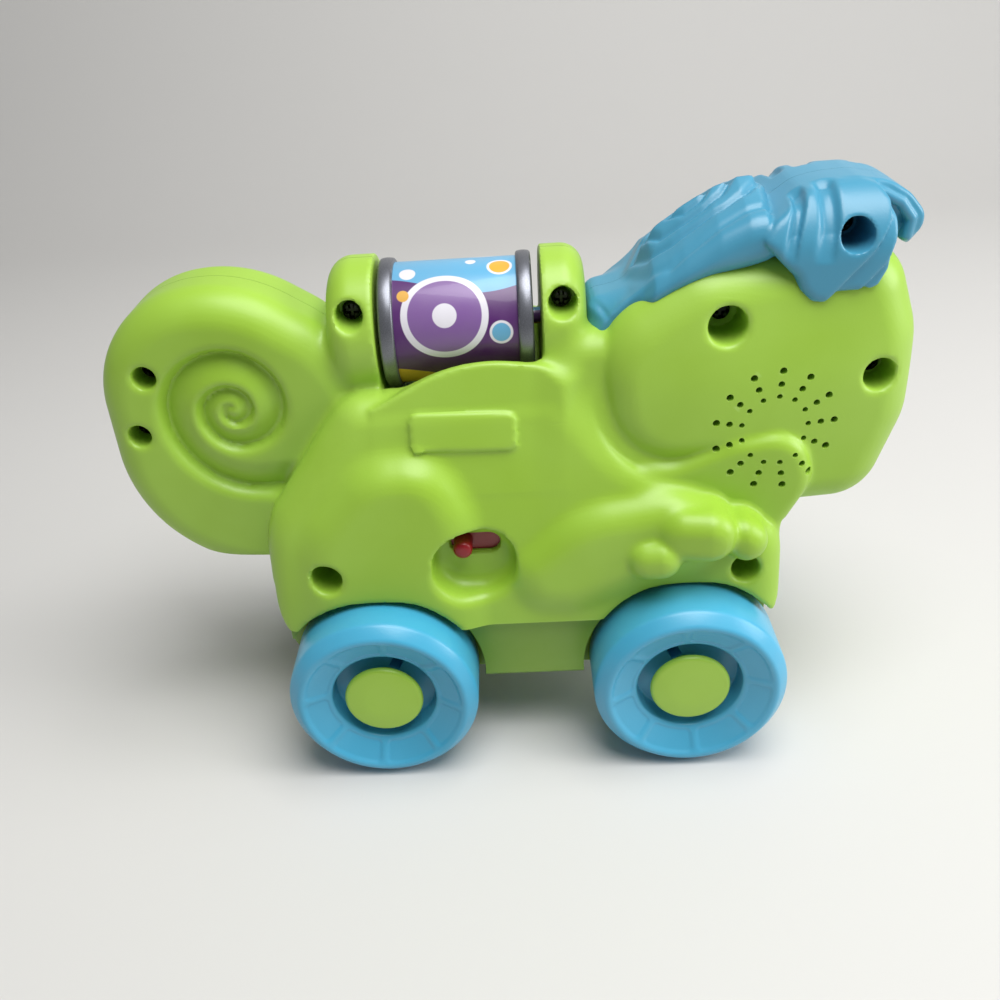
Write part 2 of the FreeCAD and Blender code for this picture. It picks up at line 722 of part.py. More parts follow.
def over_slope(start, end, ridge_y, fall):
    """All that stands above a slope that falls outwards from a ridge line."""
    run = (V(end[0], 0, end[1]) - V(start[0], 0, start[1])).normalize() * 60
    down = V(0, -60, -60 * math.tan(math.radians(fall)))
    middle = V((start[0] + end[0]) / 2, -ridge_y, (start[1] + end[1]) / 2)
    slope = loop_face([middle - run, middle + run, middle + run + down, middle - run + down])
    return slope.extrude(V(0, 0, 150))


def crest_half():
    """Right half of the crest: tuft, leaf and frill, with soft rims and sloping upper sides."""
    tuft = pad(lowered(tuft_corners, *tuft_hang), tuft_half_width, tuft_rim)
    tuft = tuft.common(side_prism(tuft_corners, -60, 0)).cut(over_slope(*tuft_slope))
    leaf = pad(leaf_corners, leaf_half_width, leaf_rim, 1).cut([over_slope(*slope) for slope in leaf_slopes])
    frill = pad(frill_corners, frill_half_width, frill_rim, 1)
    return tuft.fuse([leaf, frill]).removeSplitter()


def crest_shank():
    """Hole of the crest's screw."""
    x, z, radius, floor_y = crest_screw_site
    return rod(screw_sides, screw_radius + slip, V(x, floor_y, z), V(0, 1, 0), screw_reach - floor_y + 1)


def crest_right():
    x, z, radius, floor_y = crest_screw_site
    return crest_half().cut([rod_y(radius, -60, floor_y, x, z, recess_sides), crest_shank()])


def crest_left():
    return mirrored(crest_half()).cut(crest_shank())


def crest_screw():
    x, z, radius, floor_y = crest_screw_site
    return screw(V(x, floor_y, z), V(0, 1, 0), screw_reach - floor_y)


def left_eye():
    return rod_y(eye_radius, eye_seat_y, eye_outer_y, eye_x, eye_z, eye_sides)


def write(name, shape):
    if not shape.isValid() or not shape.Solids:
        print(name, "isn't valid")
    shape.exportStep("parts/" + name + ".step")
    print(f"{name:20s} solids {len(shape.Solids)} faces {len(shape.Faces):4d} volume {shape.Volume:9.0f}")


def main():
    os.makedirs("parts", exist_ok=True)
    nodes = {}
    for piece in (right_shell, left_shell, base_pan, battery_door, battery_door_screw, batteries,
                  battery_contacts, battery_springs, shell_screws, chassis_screws, circuit_board, board_chip,
                  board_capacitor, shake_sensor, slide_switch, switch_slider, speaker, crest_right,
                  crest_left, crest_screw, left_eye, drum_barrel):
        nodes[piece.__name__] = piece()
    nodes["drum_ring_rear"] = drum_ring(drum_rear_x, 1)
    nodes["drum_ring_front"] = drum_ring(drum_front_x, -1)
    for end, x in (("rear", rear_axle_x), ("front", front_axle_x)):
        nodes[end + "_axle"] = axle(x)
        for side, sign in (("right", -1), ("left", 1)):
            nodes[f"{end}_{side}_wheel"] = on_axle(wheel(), x, sign)
            nodes[f"{end}_{side}_hub_cap"] = on_axle(hub_cap(), x, sign)
    for name, shape in nodes.items():
        write(name, shape)
    print("nodes", len(nodes), Part.makeCompound(list(nodes.values())).BoundBox)


main()
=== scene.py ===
import math

import bmesh
import bpy
import numpy as np
import openvdb
from mathutils import Matrix, Vector


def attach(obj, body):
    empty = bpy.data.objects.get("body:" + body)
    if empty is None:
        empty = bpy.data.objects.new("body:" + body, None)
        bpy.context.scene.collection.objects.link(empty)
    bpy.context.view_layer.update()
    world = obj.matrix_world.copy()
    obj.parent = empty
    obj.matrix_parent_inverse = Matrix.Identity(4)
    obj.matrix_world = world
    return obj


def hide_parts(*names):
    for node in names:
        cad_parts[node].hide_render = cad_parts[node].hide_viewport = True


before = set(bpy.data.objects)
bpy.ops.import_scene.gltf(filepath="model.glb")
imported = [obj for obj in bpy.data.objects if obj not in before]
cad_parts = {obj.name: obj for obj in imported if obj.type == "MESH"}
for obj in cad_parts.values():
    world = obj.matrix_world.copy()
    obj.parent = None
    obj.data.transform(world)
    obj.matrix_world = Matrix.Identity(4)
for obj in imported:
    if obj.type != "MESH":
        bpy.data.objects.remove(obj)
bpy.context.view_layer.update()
scene = bpy.context.scene
scene.view_settings.view_transform = "Standard"

# Camera: it stands on the toy's right side and looks down on it, with a slight roll and its middle shifted,
# like the photograph's.
camera_place = (0.005865, -0.278993, 0.235868)
camera_down, camera_yaw, camera_roll = math.radians(31.07), math.radians(-2.893), math.radians(4.228)
focal_pixels, image_pixels = 994.888, 1000
axis_x, axis_y = 479.04, 503.44
camera_data = bpy.data.cameras.new("photo_camera")
camera_data.sensor_width = 36.0
camera_data.lens = focal_pixels / image_pixels * camera_data.sensor_width
camera_data.shift_x = (image_pixels / 2 - axis_x) / image_pixels
camera_data.shift_y = (axis_y - image_pixels / 2) / image_pixels
camera = bpy.data.objects.new("photo_camera", camera_data)
scene.collection.objects.link(camera)
forward = Vector((math.sin(camera_yaw) * math.cos(camera_down), math.cos(camera_yaw) * math.cos(camera_down),
                  -math.sin(camera_down)))
level = Vector((math.cos(camera_yaw), -math.sin(camera_yaw), 0))
upright = level.cross(forward)
rightward = level * math.cos(camera_roll) - upright * math.sin(camera_roll)
upward = level * math.sin(camera_roll) + upright * math.cos(camera_roll)
camera_turn = Matrix((rightward, upward, -forward)).transposed().to_4x4()
camera.matrix_world = Matrix.Translation(camera_place) @ camera_turn
scene.camera = camera

# Floor and lamps: a pale seamless floor that turns up behind the toy, one wide soft lamp above it, a weaker
# one before its nose, and an even pale surround.
floor_tone, floor_roughness = (0.66, 0.65, 0.63, 1), 0.65
floor_near, floor_half, turn_start, turn_radius, wall_top = -1.6, 2.5, 0.55, 0.35, 2.0
surround_tone, surround_strength = (0.94, 0.95, 0.97, 1), 0.18


def add_node(tree, kind, values=None, **settings):
    """A new shader node; values are its sockets by name or number, plain or fed by another node's socket."""
    node = tree.nodes.new("ShaderNode" + kind)
    for label, setting in settings.items():
        setattr(node, label, setting)
    for label, value in (values or {}).items():
        if isinstance(value, bpy.types.NodeSocket):
            tree.links.new(value, node.inputs[label])
        else:
            node.inputs[label].default_value = value
    return node


def new_material(name):
    """A material with an empty node tree, for finish_material to fill."""
    material = bpy.data.materials.new(name)
    material.use_nodes = True
    material.node_tree.nodes.clear()
    return material, material.node_tree


def finish_material(tree, values):
    """The shader of a material, with its own sockets set as add_node sets them."""
    shader = add_node(tree, "BsdfPrincipled", values)
    tree.links.new(shader.outputs[0], add_node(tree, "OutputMaterial").inputs["Surface"])


turn_up = [(turn_start + turn_radius * math.sin(a), turn_radius - turn_radius * math.cos(a))
           for a in np.linspace(0, math.pi / 2, 12)]
floor_rows = [(floor_near, 0.0)] + turn_up + [(turn_start + turn_radius, wall_top)]
floor_mesh = bpy.data.meshes.new("floor")
floor_mesh.from_pydata([(x, y, z) for y, z in floor_rows for x in (-floor_half, floor_half)], [],
                       [(2 * k, 2 * k + 1, 2 * k + 3, 2 * k + 2) for k in range(len(floor_rows) - 1)])
floor_mesh.shade_smooth()
floor = bpy.data.objects.new("floor", floor_mesh)
scene.collection.objects.link(floor)
floor_material, tree = new_material("pale_floor")
finish_material(tree, {"Base Color": floor_tone, "Roughness": floor_roughness})
floor_mesh.materials.append(floor_material)

lamp_aim = Vector((0, 0, 0.08))
for name, place, size, watts in (("lamp_above", (0.2, -0.2, 1.0), 0.7, 11.4),
                                 ("lamp_front", (1.15, -0.15, 0.5), 0.6, 7.4)):
    lamp_data = bpy.data.lights.new(name, "AREA")
    lamp_data.size = size
    lamp_data.energy = watts
    lamp = bpy.data.objects.new(name, lamp_data)
    lamp.location = place
    lamp.rotation_euler = (lamp_aim - Vector(place)).to_track_quat("-Z", "Y").to_euler()
    scene.collection.objects.link(lamp)
scene.world = bpy.data.worlds.new("studio")
scene.world.use_nodes = True
background = scene.world.node_tree.nodes["Background"]
background.inputs["Color"].default_value = surround_tone
background.inputs["Strength"].default_value = surround_strength

# Housing: two green halves, each moulded in one piece with tail, pillars, head and limbs, and screwed
# together on the middle plane. Their soft forms are fields of distances in millimetres, joined with fillets,
# turned into a mesh and cut open where the mould leaves plain faces.
green_tone = (0.37, 0.61, 0.072, 1)
drum_axis_z = 131.2
parting_gap = 0.12
seam_z = 48.0


class Raster:
    """The points at which a field is worked out; out is a point's distance from the middle plane."""

    def __init__(self, step, x_span, y_span, z_span):
        self.step = step
        x, y, z = (np.arange(low, high, step, dtype=np.float32) for low, high in (x_span, y_span, z_span))
        self.corner = (x[0], y[0], z[0])
        self.plan_x, self.plan_z = np.meshgrid(x, z, indexing="ij")
        self.along, self.out, self.above = x[:, None, None], np.abs(y)[None, :, None], z[None, None, :]


def rounded(corners, spacing=1.2):
    """Points of an outline whose corners (x, z, radius) are rounded by arcs."""
    points = []
    for k, (x, z, radius) in enumerate(corners):
        here = np.array((x, z), float)
        back = np.array(corners[k - 1][:2], float) - here
        ahead = np.array(corners[(k + 1) % len(corners)][:2], float) - here
        back, ahead = back / np.hypot(*back), ahead / np.hypot(*ahead)
        half = math.acos(np.clip(back @ ahead, -1, 1)) / 2
        if radius == 0 or half > 1.56:
            points.append(here)
            continue
        centre = here + (back + ahead) / np.hypot(*(back + ahead)) * radius / math.sin(half)
        start = here + back * radius / math.tan(half) - centre
        turn = math.copysign(math.pi - 2 * half, back[1] * ahead[0] - back[0] * ahead[1])
        count = max(3, int(abs(turn) * radius / spacing))
        for a in np.linspace(0, turn, count + 1):
            points.append(centre + (start[0] * math.cos(a) - start[1] * math.sin(a),
                                    start[0] * math.sin(a) + start[1] * math.cos(a)))
    return np.array(points)


def outline_distance(points):
    """Distance to a closed outline seen from the side, negative inside it."""
    x, z = at.plan_x, at.plan_z
    near, inside = np.full(x.shape, 1e9, np.float32), np.zeros(x.shape, bool)
    for (ax, az), (bx, bz) in zip(points, np.roll(points, -1, 0)):
        dx, dz = bx - ax, bz - az
        run = dx * dx + dz * dz
        if run < 1e-9:
            continue
        t = np.clip(((x - ax) * dx + (z - az) * dz) / run, 0, 1)
        near = np.minimum(near, (x - ax - t * dx) ** 2 + (z - az - t * dz) ** 2)
        if dz != 0:
            inside ^= ((az > z) != (bz > z)) & (x < dx * (z - az) / dz + ax)
    near = np.sqrt(near)
    return np.where(inside, -near, near).astype(np.float32)


def line_distance(points, x, z):
    """Distance to an open line."""
    near = np.full(np.broadcast_shapes(x.shape, z.shape), 1e9, np.float32)
    for (ax, az), (bx, bz) in zip(points, points[1:]):
        dx, dz = bx - ax, bz - az
        t = np.clip(((x - ax) * dx + (z - az) * dz) / (dx * dx + dz * dz), 0, 1)
        near = np.minimum(near, np.hypot(x - ax - t * dx, z - az - t * dz))
    return near


def groove(points, depth, width, x, z):
    """Depth of a soft groove along an open line."""
    return depth * np.exp(-(line_distance(points, x, z) / width) ** 2)


def sides_of(corners):
    """Distance to the upright sides of a form with this outline, for the whole raster."""
    return outline_distance(rounded(corners))[:, None, :]


def puffed(flat, over, rim):
    """A slab from its flat distance and its distance over the side face, with a round rim."""
    a, b = flat + rim, over + rim
    return np.hypot(np.maximum(a, 0), np.maximum(b, 0)) + np.minimum(np.maximum(a, b), 0) - rim


def joined(a, b, fillet):
    """Union of two fields with a fillet."""
    h = np.maximum(fillet - np.abs(a - b), 0) / fillet
    return np.minimum(a, b) - h * h * fillet / 4


def joined_inside(a, b, fillet):
    """What both fields hold, with a rounded edge."""
    return -joined(-a, -b, fillet)


def cut(a, b, fillet):
    """The first field without the second, with a rounded edge."""
    return joined_inside(a, -b, fillet)


def leaning_pad(corners, half, bend, lean, rim, knee=8.0):
    """A slab that is upright up to the bend, leans in above it and is rounded between."""
    c, s = math.cos(math.radians(lean)), math.sin(math.radians(lean))
    level_out = half + (at.out - half) * c + (at.above - bend) * s
    level_z = bend - (at.out - half) * s + (at.above - bend) * c
    flat = outline_distance(rounded(corners))
    place = np.clip((level_z - at.corner[2]) / at.step, 0, flat.shape[1] - 1.001)
    low = place.astype(int)
    share = (place - low).astype(np.float32)[0]
    flat = flat[:, low[0]] * (1 - share) + flat[:, low[0] + 1] * share
    return joined_inside(puffed(flat, level_out - half, rim), at.out - half, knee)


def ramp(value, start, soft=4.0):
    """Zero below the start, then rising with slope one, with a soft bend."""
    return soft * np.logaddexp(0, (value - start) / soft)


at = Raster(step=0.8, x_span=(-120, 120.5), y_span=(-49, 3.3), z_span=(45, 154.5))

# Trunk: flanks that lean in from knee height, the wall of the drum's bay, the neck between drum and head.
flank_corners = [(-71.2, 20, 0), (82.5, 20, 0), (82.5, 81, 18), (57, 88, 50), (34, 103, 35), (19, 122.5, 12),
                 (-44, 121.5, 12), (-54, 108, 24), (-71.6, 84, 24)]
bay_wall_corners = [(-38, 90, 0), (20, 90, 0), (19, 122, 0), (13, 127.5, 8), (-9, 130.4, 45), (-36, 117, 0)]
neck_corners = [(8, 36, 0), (60, 36, 0), (60, 100, 12), (45, 135, 12), (16, 133, 11)]
skirt_corners = [(-70.9, 40, 18), (82.6, 40, 14), (82.6, 74, 0), (140, 74, 0), (140, 200, 0), (-140, 200, 0),
                 (-140, 62, 0), (-71.2, 62, 0)]
body = leaning_pad(flank_corners, half=40.0, bend=60, lean=13, rim=10)
body = joined(body, leaning_pad(bay_wall_corners, half=39.6, bend=60, lean=13, rim=1.2), fillet=1)
body = joined(body, leaning_pad(neck_corners, half=29, bend=92, lean=10, rim=8), fillet=9)

# Tail: a rolled-up disc with a spiral valley, wide and gentle outside and steep inside. Its outline is given
# by straight tangents: direction in degrees, distance from the centre, radius of the corner before. The
# valley's widths and depth are given for its outer end, with what they lose up to its inner end.
tail_centre = (-76.7, 106.3)
tail_tangents = [(20, 39.6, 20), (57, 39.2, 36), (95, 42.8, 40), (140, 44.2, 34), (180, 40.7, 34),
                 (218, 46.2, 44), (255, 50.6, 46), (283, 58.0, 30)]
tail_half, tail_rim = 17.5, 10.5
tail_corners = []
for k, (angle, q, radius) in enumerate(tail_tangents):
    before, p, _ = tail_tangents[k - 1]
    a, b = math.radians(before), math.radians(angle)
    tail_corners.append((tail_centre[0] + (p * math.sin(b) - q * math.sin(a)) / math.sin(b - a),
                         tail_centre[1] + (q * math.cos(a) - p * math.cos(b)) / math.sin(b - a), radius))
spiral_start, spiral_lead_in = (-72.5, 86.0), 16.0
spiral_radii = [25.5, 19.5, 16, 14, 10.5, 8.7, 6.3, 5, 3.6, 2.6]
gentle_width, steep_width, valley_depth, gentle_power = (11.0, 7.8), (4.2, 2.6), (5.2, 3.0), 1.35
here, heading = np.array(spiral_start), np.array((-1.0, 0.0))
spiral_points = [here - heading * reach for reach in np.arange(spiral_lead_in, 0, -1.0)] + [here]
for radius in spiral_radii:
    inward = np.array((heading[1], -heading[0]))
    centre = here + inward * radius
    for a in np.linspace(0, math.pi / 2, 13)[1:]:
        spiral_points.append(centre - inward * radius * math.cos(a) + heading * radius * math.sin(a))
    here, heading = spiral_points[-1], inward
valley = np.zeros_like(at.plan_x)
for k, ((ax, az), (bx, bz)) in enumerate(zip(spiral_points, spiral_points[1:])):
    inner = k / len(spiral_points)
    dx, dz = bx - ax, bz - az
    run = math.hypot(dx, dz)
    t = np.clip(((at.plan_x - ax) * dx + (at.plan_z - az) * dz) / run ** 2, 0, 1)
    off = np.hypot(at.plan_x - ax - t * dx, at.plan_z - az - t * dz)
    outside = dx * (at.plan_z - az) - dz * (at.plan_x - ax) > 0
    gentle, steep, depth = (outer - loss * inner for outer, loss in (gentle_width, steep_width, valley_depth))
    fall = np.clip(1 - off / gentle, 0, 1) ** gentle_power
    rise = 1 - np.sqrt(1 - np.clip(1 - off / steep, 0, 1) ** 2)
    valley = np.maximum(valley, depth * np.where(outside, rise, fall))
beside = np.roll(valley, 1, 0) + np.roll(valley, -1, 0) + np.roll(valley, 1, 1) + np.roll(valley, -1, 1)
valley = (4 * valley + beside) / 8
tail = puffed(sides_of(tail_corners), at.out - tail_half + valley[:, None, :], tail_rim)
body = joined(body, tail, fillet=3)

# Pillars: round, on the drum's axis, domed outside and flat towards the drum.
pillar_radius, pillar_dome, pillar_edge = 20.3, 9.0, 0.7
rear_pillar, front_pillar = (-32.7, -47.0), (13.4, 26.4)
from_axis = np.hypot(at.out, at.above - drum_axis_z)
for inner_x, outer_x in (rear_pillar, front_pillar):
    middle, half = (inner_x + outer_x) / 2, abs(inner_x - outer_x) / 2
    domed = puffed(from_axis - pillar_radius, np.abs(at.along - middle) - half, min(pillar_dome, half))
    over_inner = np.abs(at.along - (inner_x + middle) / 2) - half / 2
    plain = puffed(from_axis - pillar_radius, over_inner, pillar_edge)
    body = joined(body, np.minimum(domed, plain), fillet=4)

# Head and chest: the side draws in towards the snout and the brow, and the trunk is cut back round the head.
head_half, head_rim, head_step, head_seam = 29.6, 11.0, 0.8, 3.4
cheek_start, cheek_lean = 60.0, math.radians(6)
brow_start, brow_lean = 118.0, math.radians(9)
chest_half, chest_rim = 30.6, 4.5
chest_corners = [(30, 36, 0), (82.5, 36, 0), (82.5, 72, 18), (90.5, 87, 12), (86, 104, 12), (66, 102, 14),
                 (50, 95.0, 14), (36, 96, 10), (30, 86, 4)]
head_corners = [(76, 75.6, 13), (109, 75.6, 15), (118.1, 103, 24), (118.0, 128, 26), (111.5, 149, 14),
                (99, 152, 12), (55, 150, 20), (27.5, 132, 22), (31.5, 91.5, 22), (66, 92, 14)]


def over_head_side():
    """Distance over the head's leaning side face."""
    return at.out - (head_half - math.tan(cheek_lean) * ramp(at.along, cheek_start)
                     - math.tan(brow_lean) * ramp(at.above, brow_start))


body = cut(body, np.maximum(sides_of(head_corners), -head_step - over_head_side()), head_seam)
body = joined(body, puffed(sides_of(head_corners), over_head_side(), head_rim), fillet=1.2)
body = joined(body, puffed(sides_of(chest_corners), at.out - chest_half, chest_rim), fillet=1.4)

# Limbs: thigh and arm as raised pads, and three fingers as lobes, each with tip, root, radius, reach and rim.
thigh_corners = [(-61, 40, 0), (-8.5, 40, 0), (-9, 86, 20), (-17, 104, 17), (-40, 103, 20), (-60, 80, 24)]
arm_corners = [(2, 68, 10), (5, 54, 10), (20, 52.5, 14), (58, 66, 14), (66, 83, 8), (50, 89.5, 18),
               (22, 85.5, 30)]
fingers = [((58.6, 77.6), (51.5, 77.4), 7.9, 46.2, 6.0), ((69.6, 74.2), (68.2, 75.2), 6.3, 43.6, 5.6),
           ((45.2, 70.6), (41.2, 70.0), 5.9, 46.0, 5.2)]
finger_fall = 0.2
body = joined(body, leaning_pad(thigh_corners, half=42.6, bend=66, lean=8.5, rim=10), fillet=5)
body = joined(body, leaning_pad(arm_corners, half=43.0, bend=66, lean=6, rim=9), fillet=4)
for tip, root, radius, reach, rim in fingers:
    lobe = line_distance([tip, root], at.plan_x, at.plan_z)[:, None, :] - radius
    sunk = finger_fall * np.maximum(tip[0] - at.along, 0)
    body = joined(body, puffed(lobe, at.out - reach + sunk, rim), fillet=1.6)
body = joined_inside(body, sides_of(skirt_corners), fillet=1.5)

# Bay of the drum and arches of the wheels.
bay_radius, bay_middle, bay_half = 21.2, -9.65, 23.05
bay_window_corners = [(-32.7, 117.8, 0), (-10, 131, 45), (13.4, 127.2, 0), (13.4, 180, 0), (-32.7, 180, 0)]
axle_places = {"rear": -39.2, "front": 54.0}
axle_z, arch_radius, arch_depth, arch_top = 29.0, 31.2, 29.0, 59.6
body = cut(body, np.maximum(from_axis - bay_radius, np.abs(at.along - bay_middle) - bay_half), fillet=0.7)
body = cut(body, sides_of(bay_window_corners), fillet=1.1)
for axle_x in axle_places.values():
    arch = np.maximum(np.hypot(at.along - axle_x, at.above - axle_z) - arch_radius, arch_depth - at.out)
    arch = joined_inside(arch, at.above - arch_top, fillet=3)
    body = cut(body, arch, fillet=1.2)

# Right half: plain plate on the flank, screw recesses (x, z, radius, distance of the floor from the middle
# plane), dish and slot of the switch. Left half: seat of the eye and the line of the mouth.
plate_corners = [(-24.9, 103.6, 2.2), (5.1, 103.0, 2.2), (5.1, 113.6, 2.2), (-24.9, 114.6, 2.2)]
plate_height, plate_edge = 1.1, 0.5
recesses = [(-101.1, 124.9, 3.4, 8.0), (-106.7, 106.5, 3.4, 8.0), (-39.7, 140.0, 3.9, 8.0),
            (19.6, 140.4, 3.9, 8.0), (63.2, 134.7, 5.3, 12.0), (106.4, 117.2, 4.6, 12.0),
            (-53.0, 67.3, 4.6, 12.0), (70.7, 63.0, 4.1, 12.0)]
dish_corners = [(-21.4, 58.0, 11), (3.3, 58.0, 11), (3.3, 79.6, 9.5), (-21.4, 79.6, 9.5)]
dish_floor, dish_round, slot_floor = 30.8, 4.5, 29.4
lip_heights, lip_widths = (60, 71), (3.6, 0.6)
slot_corners = [(-16.2, 68.9, 3.45), (-1.0, 68.9, 3.45), (-1.0, 75.9, 3.45), (-16.2, 75.9, 3.45)]
eye_x, eye_z, eye_seat, eye_seat_radius = 80.0, 127.0, 24.0, 9.2
mouth_line = [(116, 101), (108, 96), (98, 93.5), (88, 94), (80, 97.5), (76, 101.5)]
mouth_depth, mouth_width, mouth_out = 1.3, 1.1, 12


def well(x, z, radius, floor_out):
    """A round hole from the side down to its floor."""
    return np.maximum(np.hypot(at.plan_x - x, at.plan_z - z)[:, None, :] - radius, floor_out - at.out)


right = joined(body, joined_inside(sides_of(plate_corners), body - plate_height, plate_edge), plate_edge)
for recess in recesses:
    right = cut(right, well(*recess), fillet=1.6)
dish = puffed(sides_of(dish_corners), dish_floor - at.out, dish_round)
lip = np.interp(at.above, lip_heights, lip_widths).astype(np.float32)
right = cut(right, dish, lip)
right = cut(right, np.maximum(sides_of(slot_corners), slot_floor - at.out), fillet=0.7)
left = cut(body, well(eye_x, eye_z, eye_seat_radius, eye_seat), fillet=1.0)
mouth = groove(mouth_line, mouth_depth, mouth_width, at.plan_x, at.plan_z)[:, None, :]
left += mouth * (at.out > mouth_out)


def field_mesh(name, field, mirrored=False):
    """The surface of a field as a smooth mesh in metres."""
    limit = 3 * at.step
    grid = openvdb.FloatGrid(background=limit)
    grid.copyFromArray(np.clip(field, -limit, limit).astype(np.float32), tolerance=0.0)
    grid.transform = openvdb.createLinearTransform(voxelSize=at.step)
    points, triangles, quads = grid.convertToPolygons(isovalue=0.0, adaptivity=0.0)
    points = points + np.array(at.corner)
    if mirrored:
        points[:, 1] *= -1
        quads, triangles = quads[:, ::-1], triangles[:, ::-1]
    mesh = bpy.data.meshes.new(name)
    mesh.from_pydata((points * 0.001).tolist(), [], quads.tolist() + triangles.tolist())
    mesh.shade_smooth()
    piece = bpy.data.objects.new(name, mesh)
    scene.collection.objects.link(piece)
    return piece


def sideways(x, z, y):
    """Places an outline seen from the side."""
    return x, y, z


def slab(outline, start, end, place=sideways):
    """Points and faces of a straight-sided form between two distances across its outline."""
    count = len(outline)
    points = [place(u, v, reach) for reach in (start, end) for u, v in outline]
    faces = [list(range(count))[::-1], list(range(count, 2 * count))]
    faces += [[k, (k + 1) % count, count + (k + 1) % count, count + k] for k in range(count)]
    return points, faces


def disc(x, z, radius, sides=48):
    """Points of a circle."""
    return [(x + radius * math.cos(math.tau * k / sides), z + radius * math.sin(math.tau * k / sides))
            for k in range(sides)]


def rectangle(x0, x1, z0, z1):
    return [(x0, z0), (x1, z0), (x1, z1), (x0, z1)]


def rounded_rectangle(x0, x1, z0, z1, radius, spacing):
    return rounded([(x, z, radius) for x, z in rectangle(x0, x1, z0, z1)], spacing)


crisp_angle = math.radians(35)


def smoothed(mesh):
    """Shades a mesh smooth but for its edges over the crisp angle."""
    mesh.shade_smooth()
    mesh.set_sharp_from_angle(angle=crisp_angle)


def new_piece(name, *forms):
    """One mesh object in metres from forms in millimetres."""
    points, faces = [], []
    for form_points, form_faces in forms:
        faces += [[k + len(points) for k in face] for face in form_faces]
        points += [tuple(c * 0.001 for c in point) for point in form_points]
    mesh = bpy.data.meshes.new(name)
    mesh.from_pydata(points, [], faces)
    made = bmesh.new()
    made.from_mesh(mesh)
    bmesh.ops.remove_doubles(made, verts=made.verts, dist=1e-7)
    bmesh.ops.recalc_face_normals(made, faces=made.faces)
    made.to_mesh(mesh)
    made.free()
    smoothed(mesh)
    piece = bpy.data.objects.new(name, mesh)
    scene.collection.objects.link(piece)
    return piece


def settle(piece):
    """Applies a piece's modifiers."""
    shaped = bpy.data.meshes.new_from_object(piece.evaluated_get(bpy.context.evaluated_depsgraph_get()))
    piece.modifiers.clear()
    piece.data = shaped
    smoothed(shaped)


def cut_away(piece, *groups, keep_common=False):
    """Takes groups of forms out of a piece, or keeps only what it shares with them."""
    cutters = []
    for forms in groups:
        cutters.append(new_piece("cutter", *forms))
        cutting = piece.modifiers.new("cut", "BOOLEAN")
        cutting.operation = "INTERSECT" if keep_common else "DIFFERENCE"
        cutting.object, cutting.solver = cutters[-1], "MANIFOLD"
    settle(piece)
    for cutter in cutters:
        bpy.data.objects.remove(cutter)


# Hollows of a half: outlines and distances from the middle plane. Grille: rays of holes over the loudspeaker.
room_parts = [([(-47.5, 40), (64, 40), (64, 63.7), (-47.5, 63.7)], 26.8),
              ([(-47.5, 63.6), (64, 63.6), (64, 79), (49, 90), (-58, 90), (-61, 75), (-47.5, 75)], 28.8),
              ([(-58, 89.9), (49, 89.9), (34, 101), (22, 106), (-44, 106)], 24.0),
              ([(-96, 92), (-82, 77), (-50, 78), (-50, 118), (-64, 136), (-86, 136), (-95, 122)], 10.6),
              ([(48, 78), (84, 78), (98.4, 88), (98.4, 114), (90, 126), (57, 126), (44, 112)], 23.2)]
speaker_x, grille_z, grille_rays, grille_phase = 77.7, 104.3, 13, 86.0
grille_holes = [(9.6, 0.8), (13.2, 0.95), (17.0, 1.05)]
grille = []
for ray in range(grille_rays):
    angle = math.radians(grille_phase + 360 * ray / grille_rays)
    for reach, radius in grille_holes:
        x, z = speaker_x + reach * math.cos(angle), grille_z + reach * math.sin(angle)
        grille.append(slab(disc(x, z, radius, 20), -45, -20))
right_half = field_mesh("right_half", np.maximum(right, at.corner[2] + 1 - at.above))
left_half = field_mesh("left_half", np.maximum(left, at.corner[2] + 1 - at.above), mirrored=True)
slot_through = slab(rounded_rectangle(-16.0, -1.2, 69.1, 75.7, 3.2, 0.4), -33, -20)
for piece, side, extra in ((right_half, -1, [grille, [slot_through]]), (left_half, 1, [])):
    rooms = [[slab(outline, side * half, -side)] for outline, half in room_parts]
    cut_away(piece, [slab(rectangle(-140, 140, 30, 190), side * parting_gap, -side * 10)],
             [slab(rectangle(-140, 140, 30, seam_z), -60, 60)], *rooms, *extra)


def new_group(name, inputs, outputs):
    """A shader node group with named sockets; gives its tree and its two ends."""
    group = bpy.data.node_groups.new(name, "ShaderNodeTree")
    for label, kind, value in inputs:
        socket = group.interface.new_socket(label, in_out="INPUT", socket_type="NodeSocket" + kind)
        socket.default_value = value
    for label, kind in outputs:
        group.interface.new_socket(label, in_out="OUTPUT", socket_type="NodeSocket" + kind)
    return group, group.nodes.new("NodeGroupInput").outputs, group.nodes.new("NodeGroupOutput").inputs


def mapped(tree, value, low, high, to_low=0.0, to_high=1.0):
    """A value brought from one span to another."""
    return add_node(tree, "MapRange", {0: value, 1: low, 2: high, 3: to_low, 4: to_high}).outputs[0]


def mixed(tree, share, one, two):
    """A colour between two colours."""
    return add_node(tree, "Mix", {0: share, 6: one, 7: two}, data_type="RGBA").outputs[2]


def shaded(tree, tone, value, saturation=1.0):
    """A colour made darker or lighter, and duller or fuller."""
    values = {"Saturation": saturation, "Value": value, "Color": tone}
    return add_node(tree, "HueSaturation", values).outputs[0]


def math_node(tree, operation, *values):
    return add_node(tree, "Math", dict(enumerate(values)), operation=operation).outputs[0]


def plus(tree, one, two):
    return math_node(tree, "ADD", one, two)


def times(tree, one, two):
    return math_node(tree, "MULTIPLY", one, two)


def own_place(tree):
    """The place on the piece, in its own coordinates."""
    return add_node(tree, "TexCoord").outputs["Object"]


def noise(tree, scale, detail=3.0, rough=0.5):
    """Cloudy values over the piece."""
    return add_node(tree, "TexNoise", {"Vector": own_place(tree), "Scale": scale, "Detail": detail,
                                       "Roughness": rough}).outputs[0]


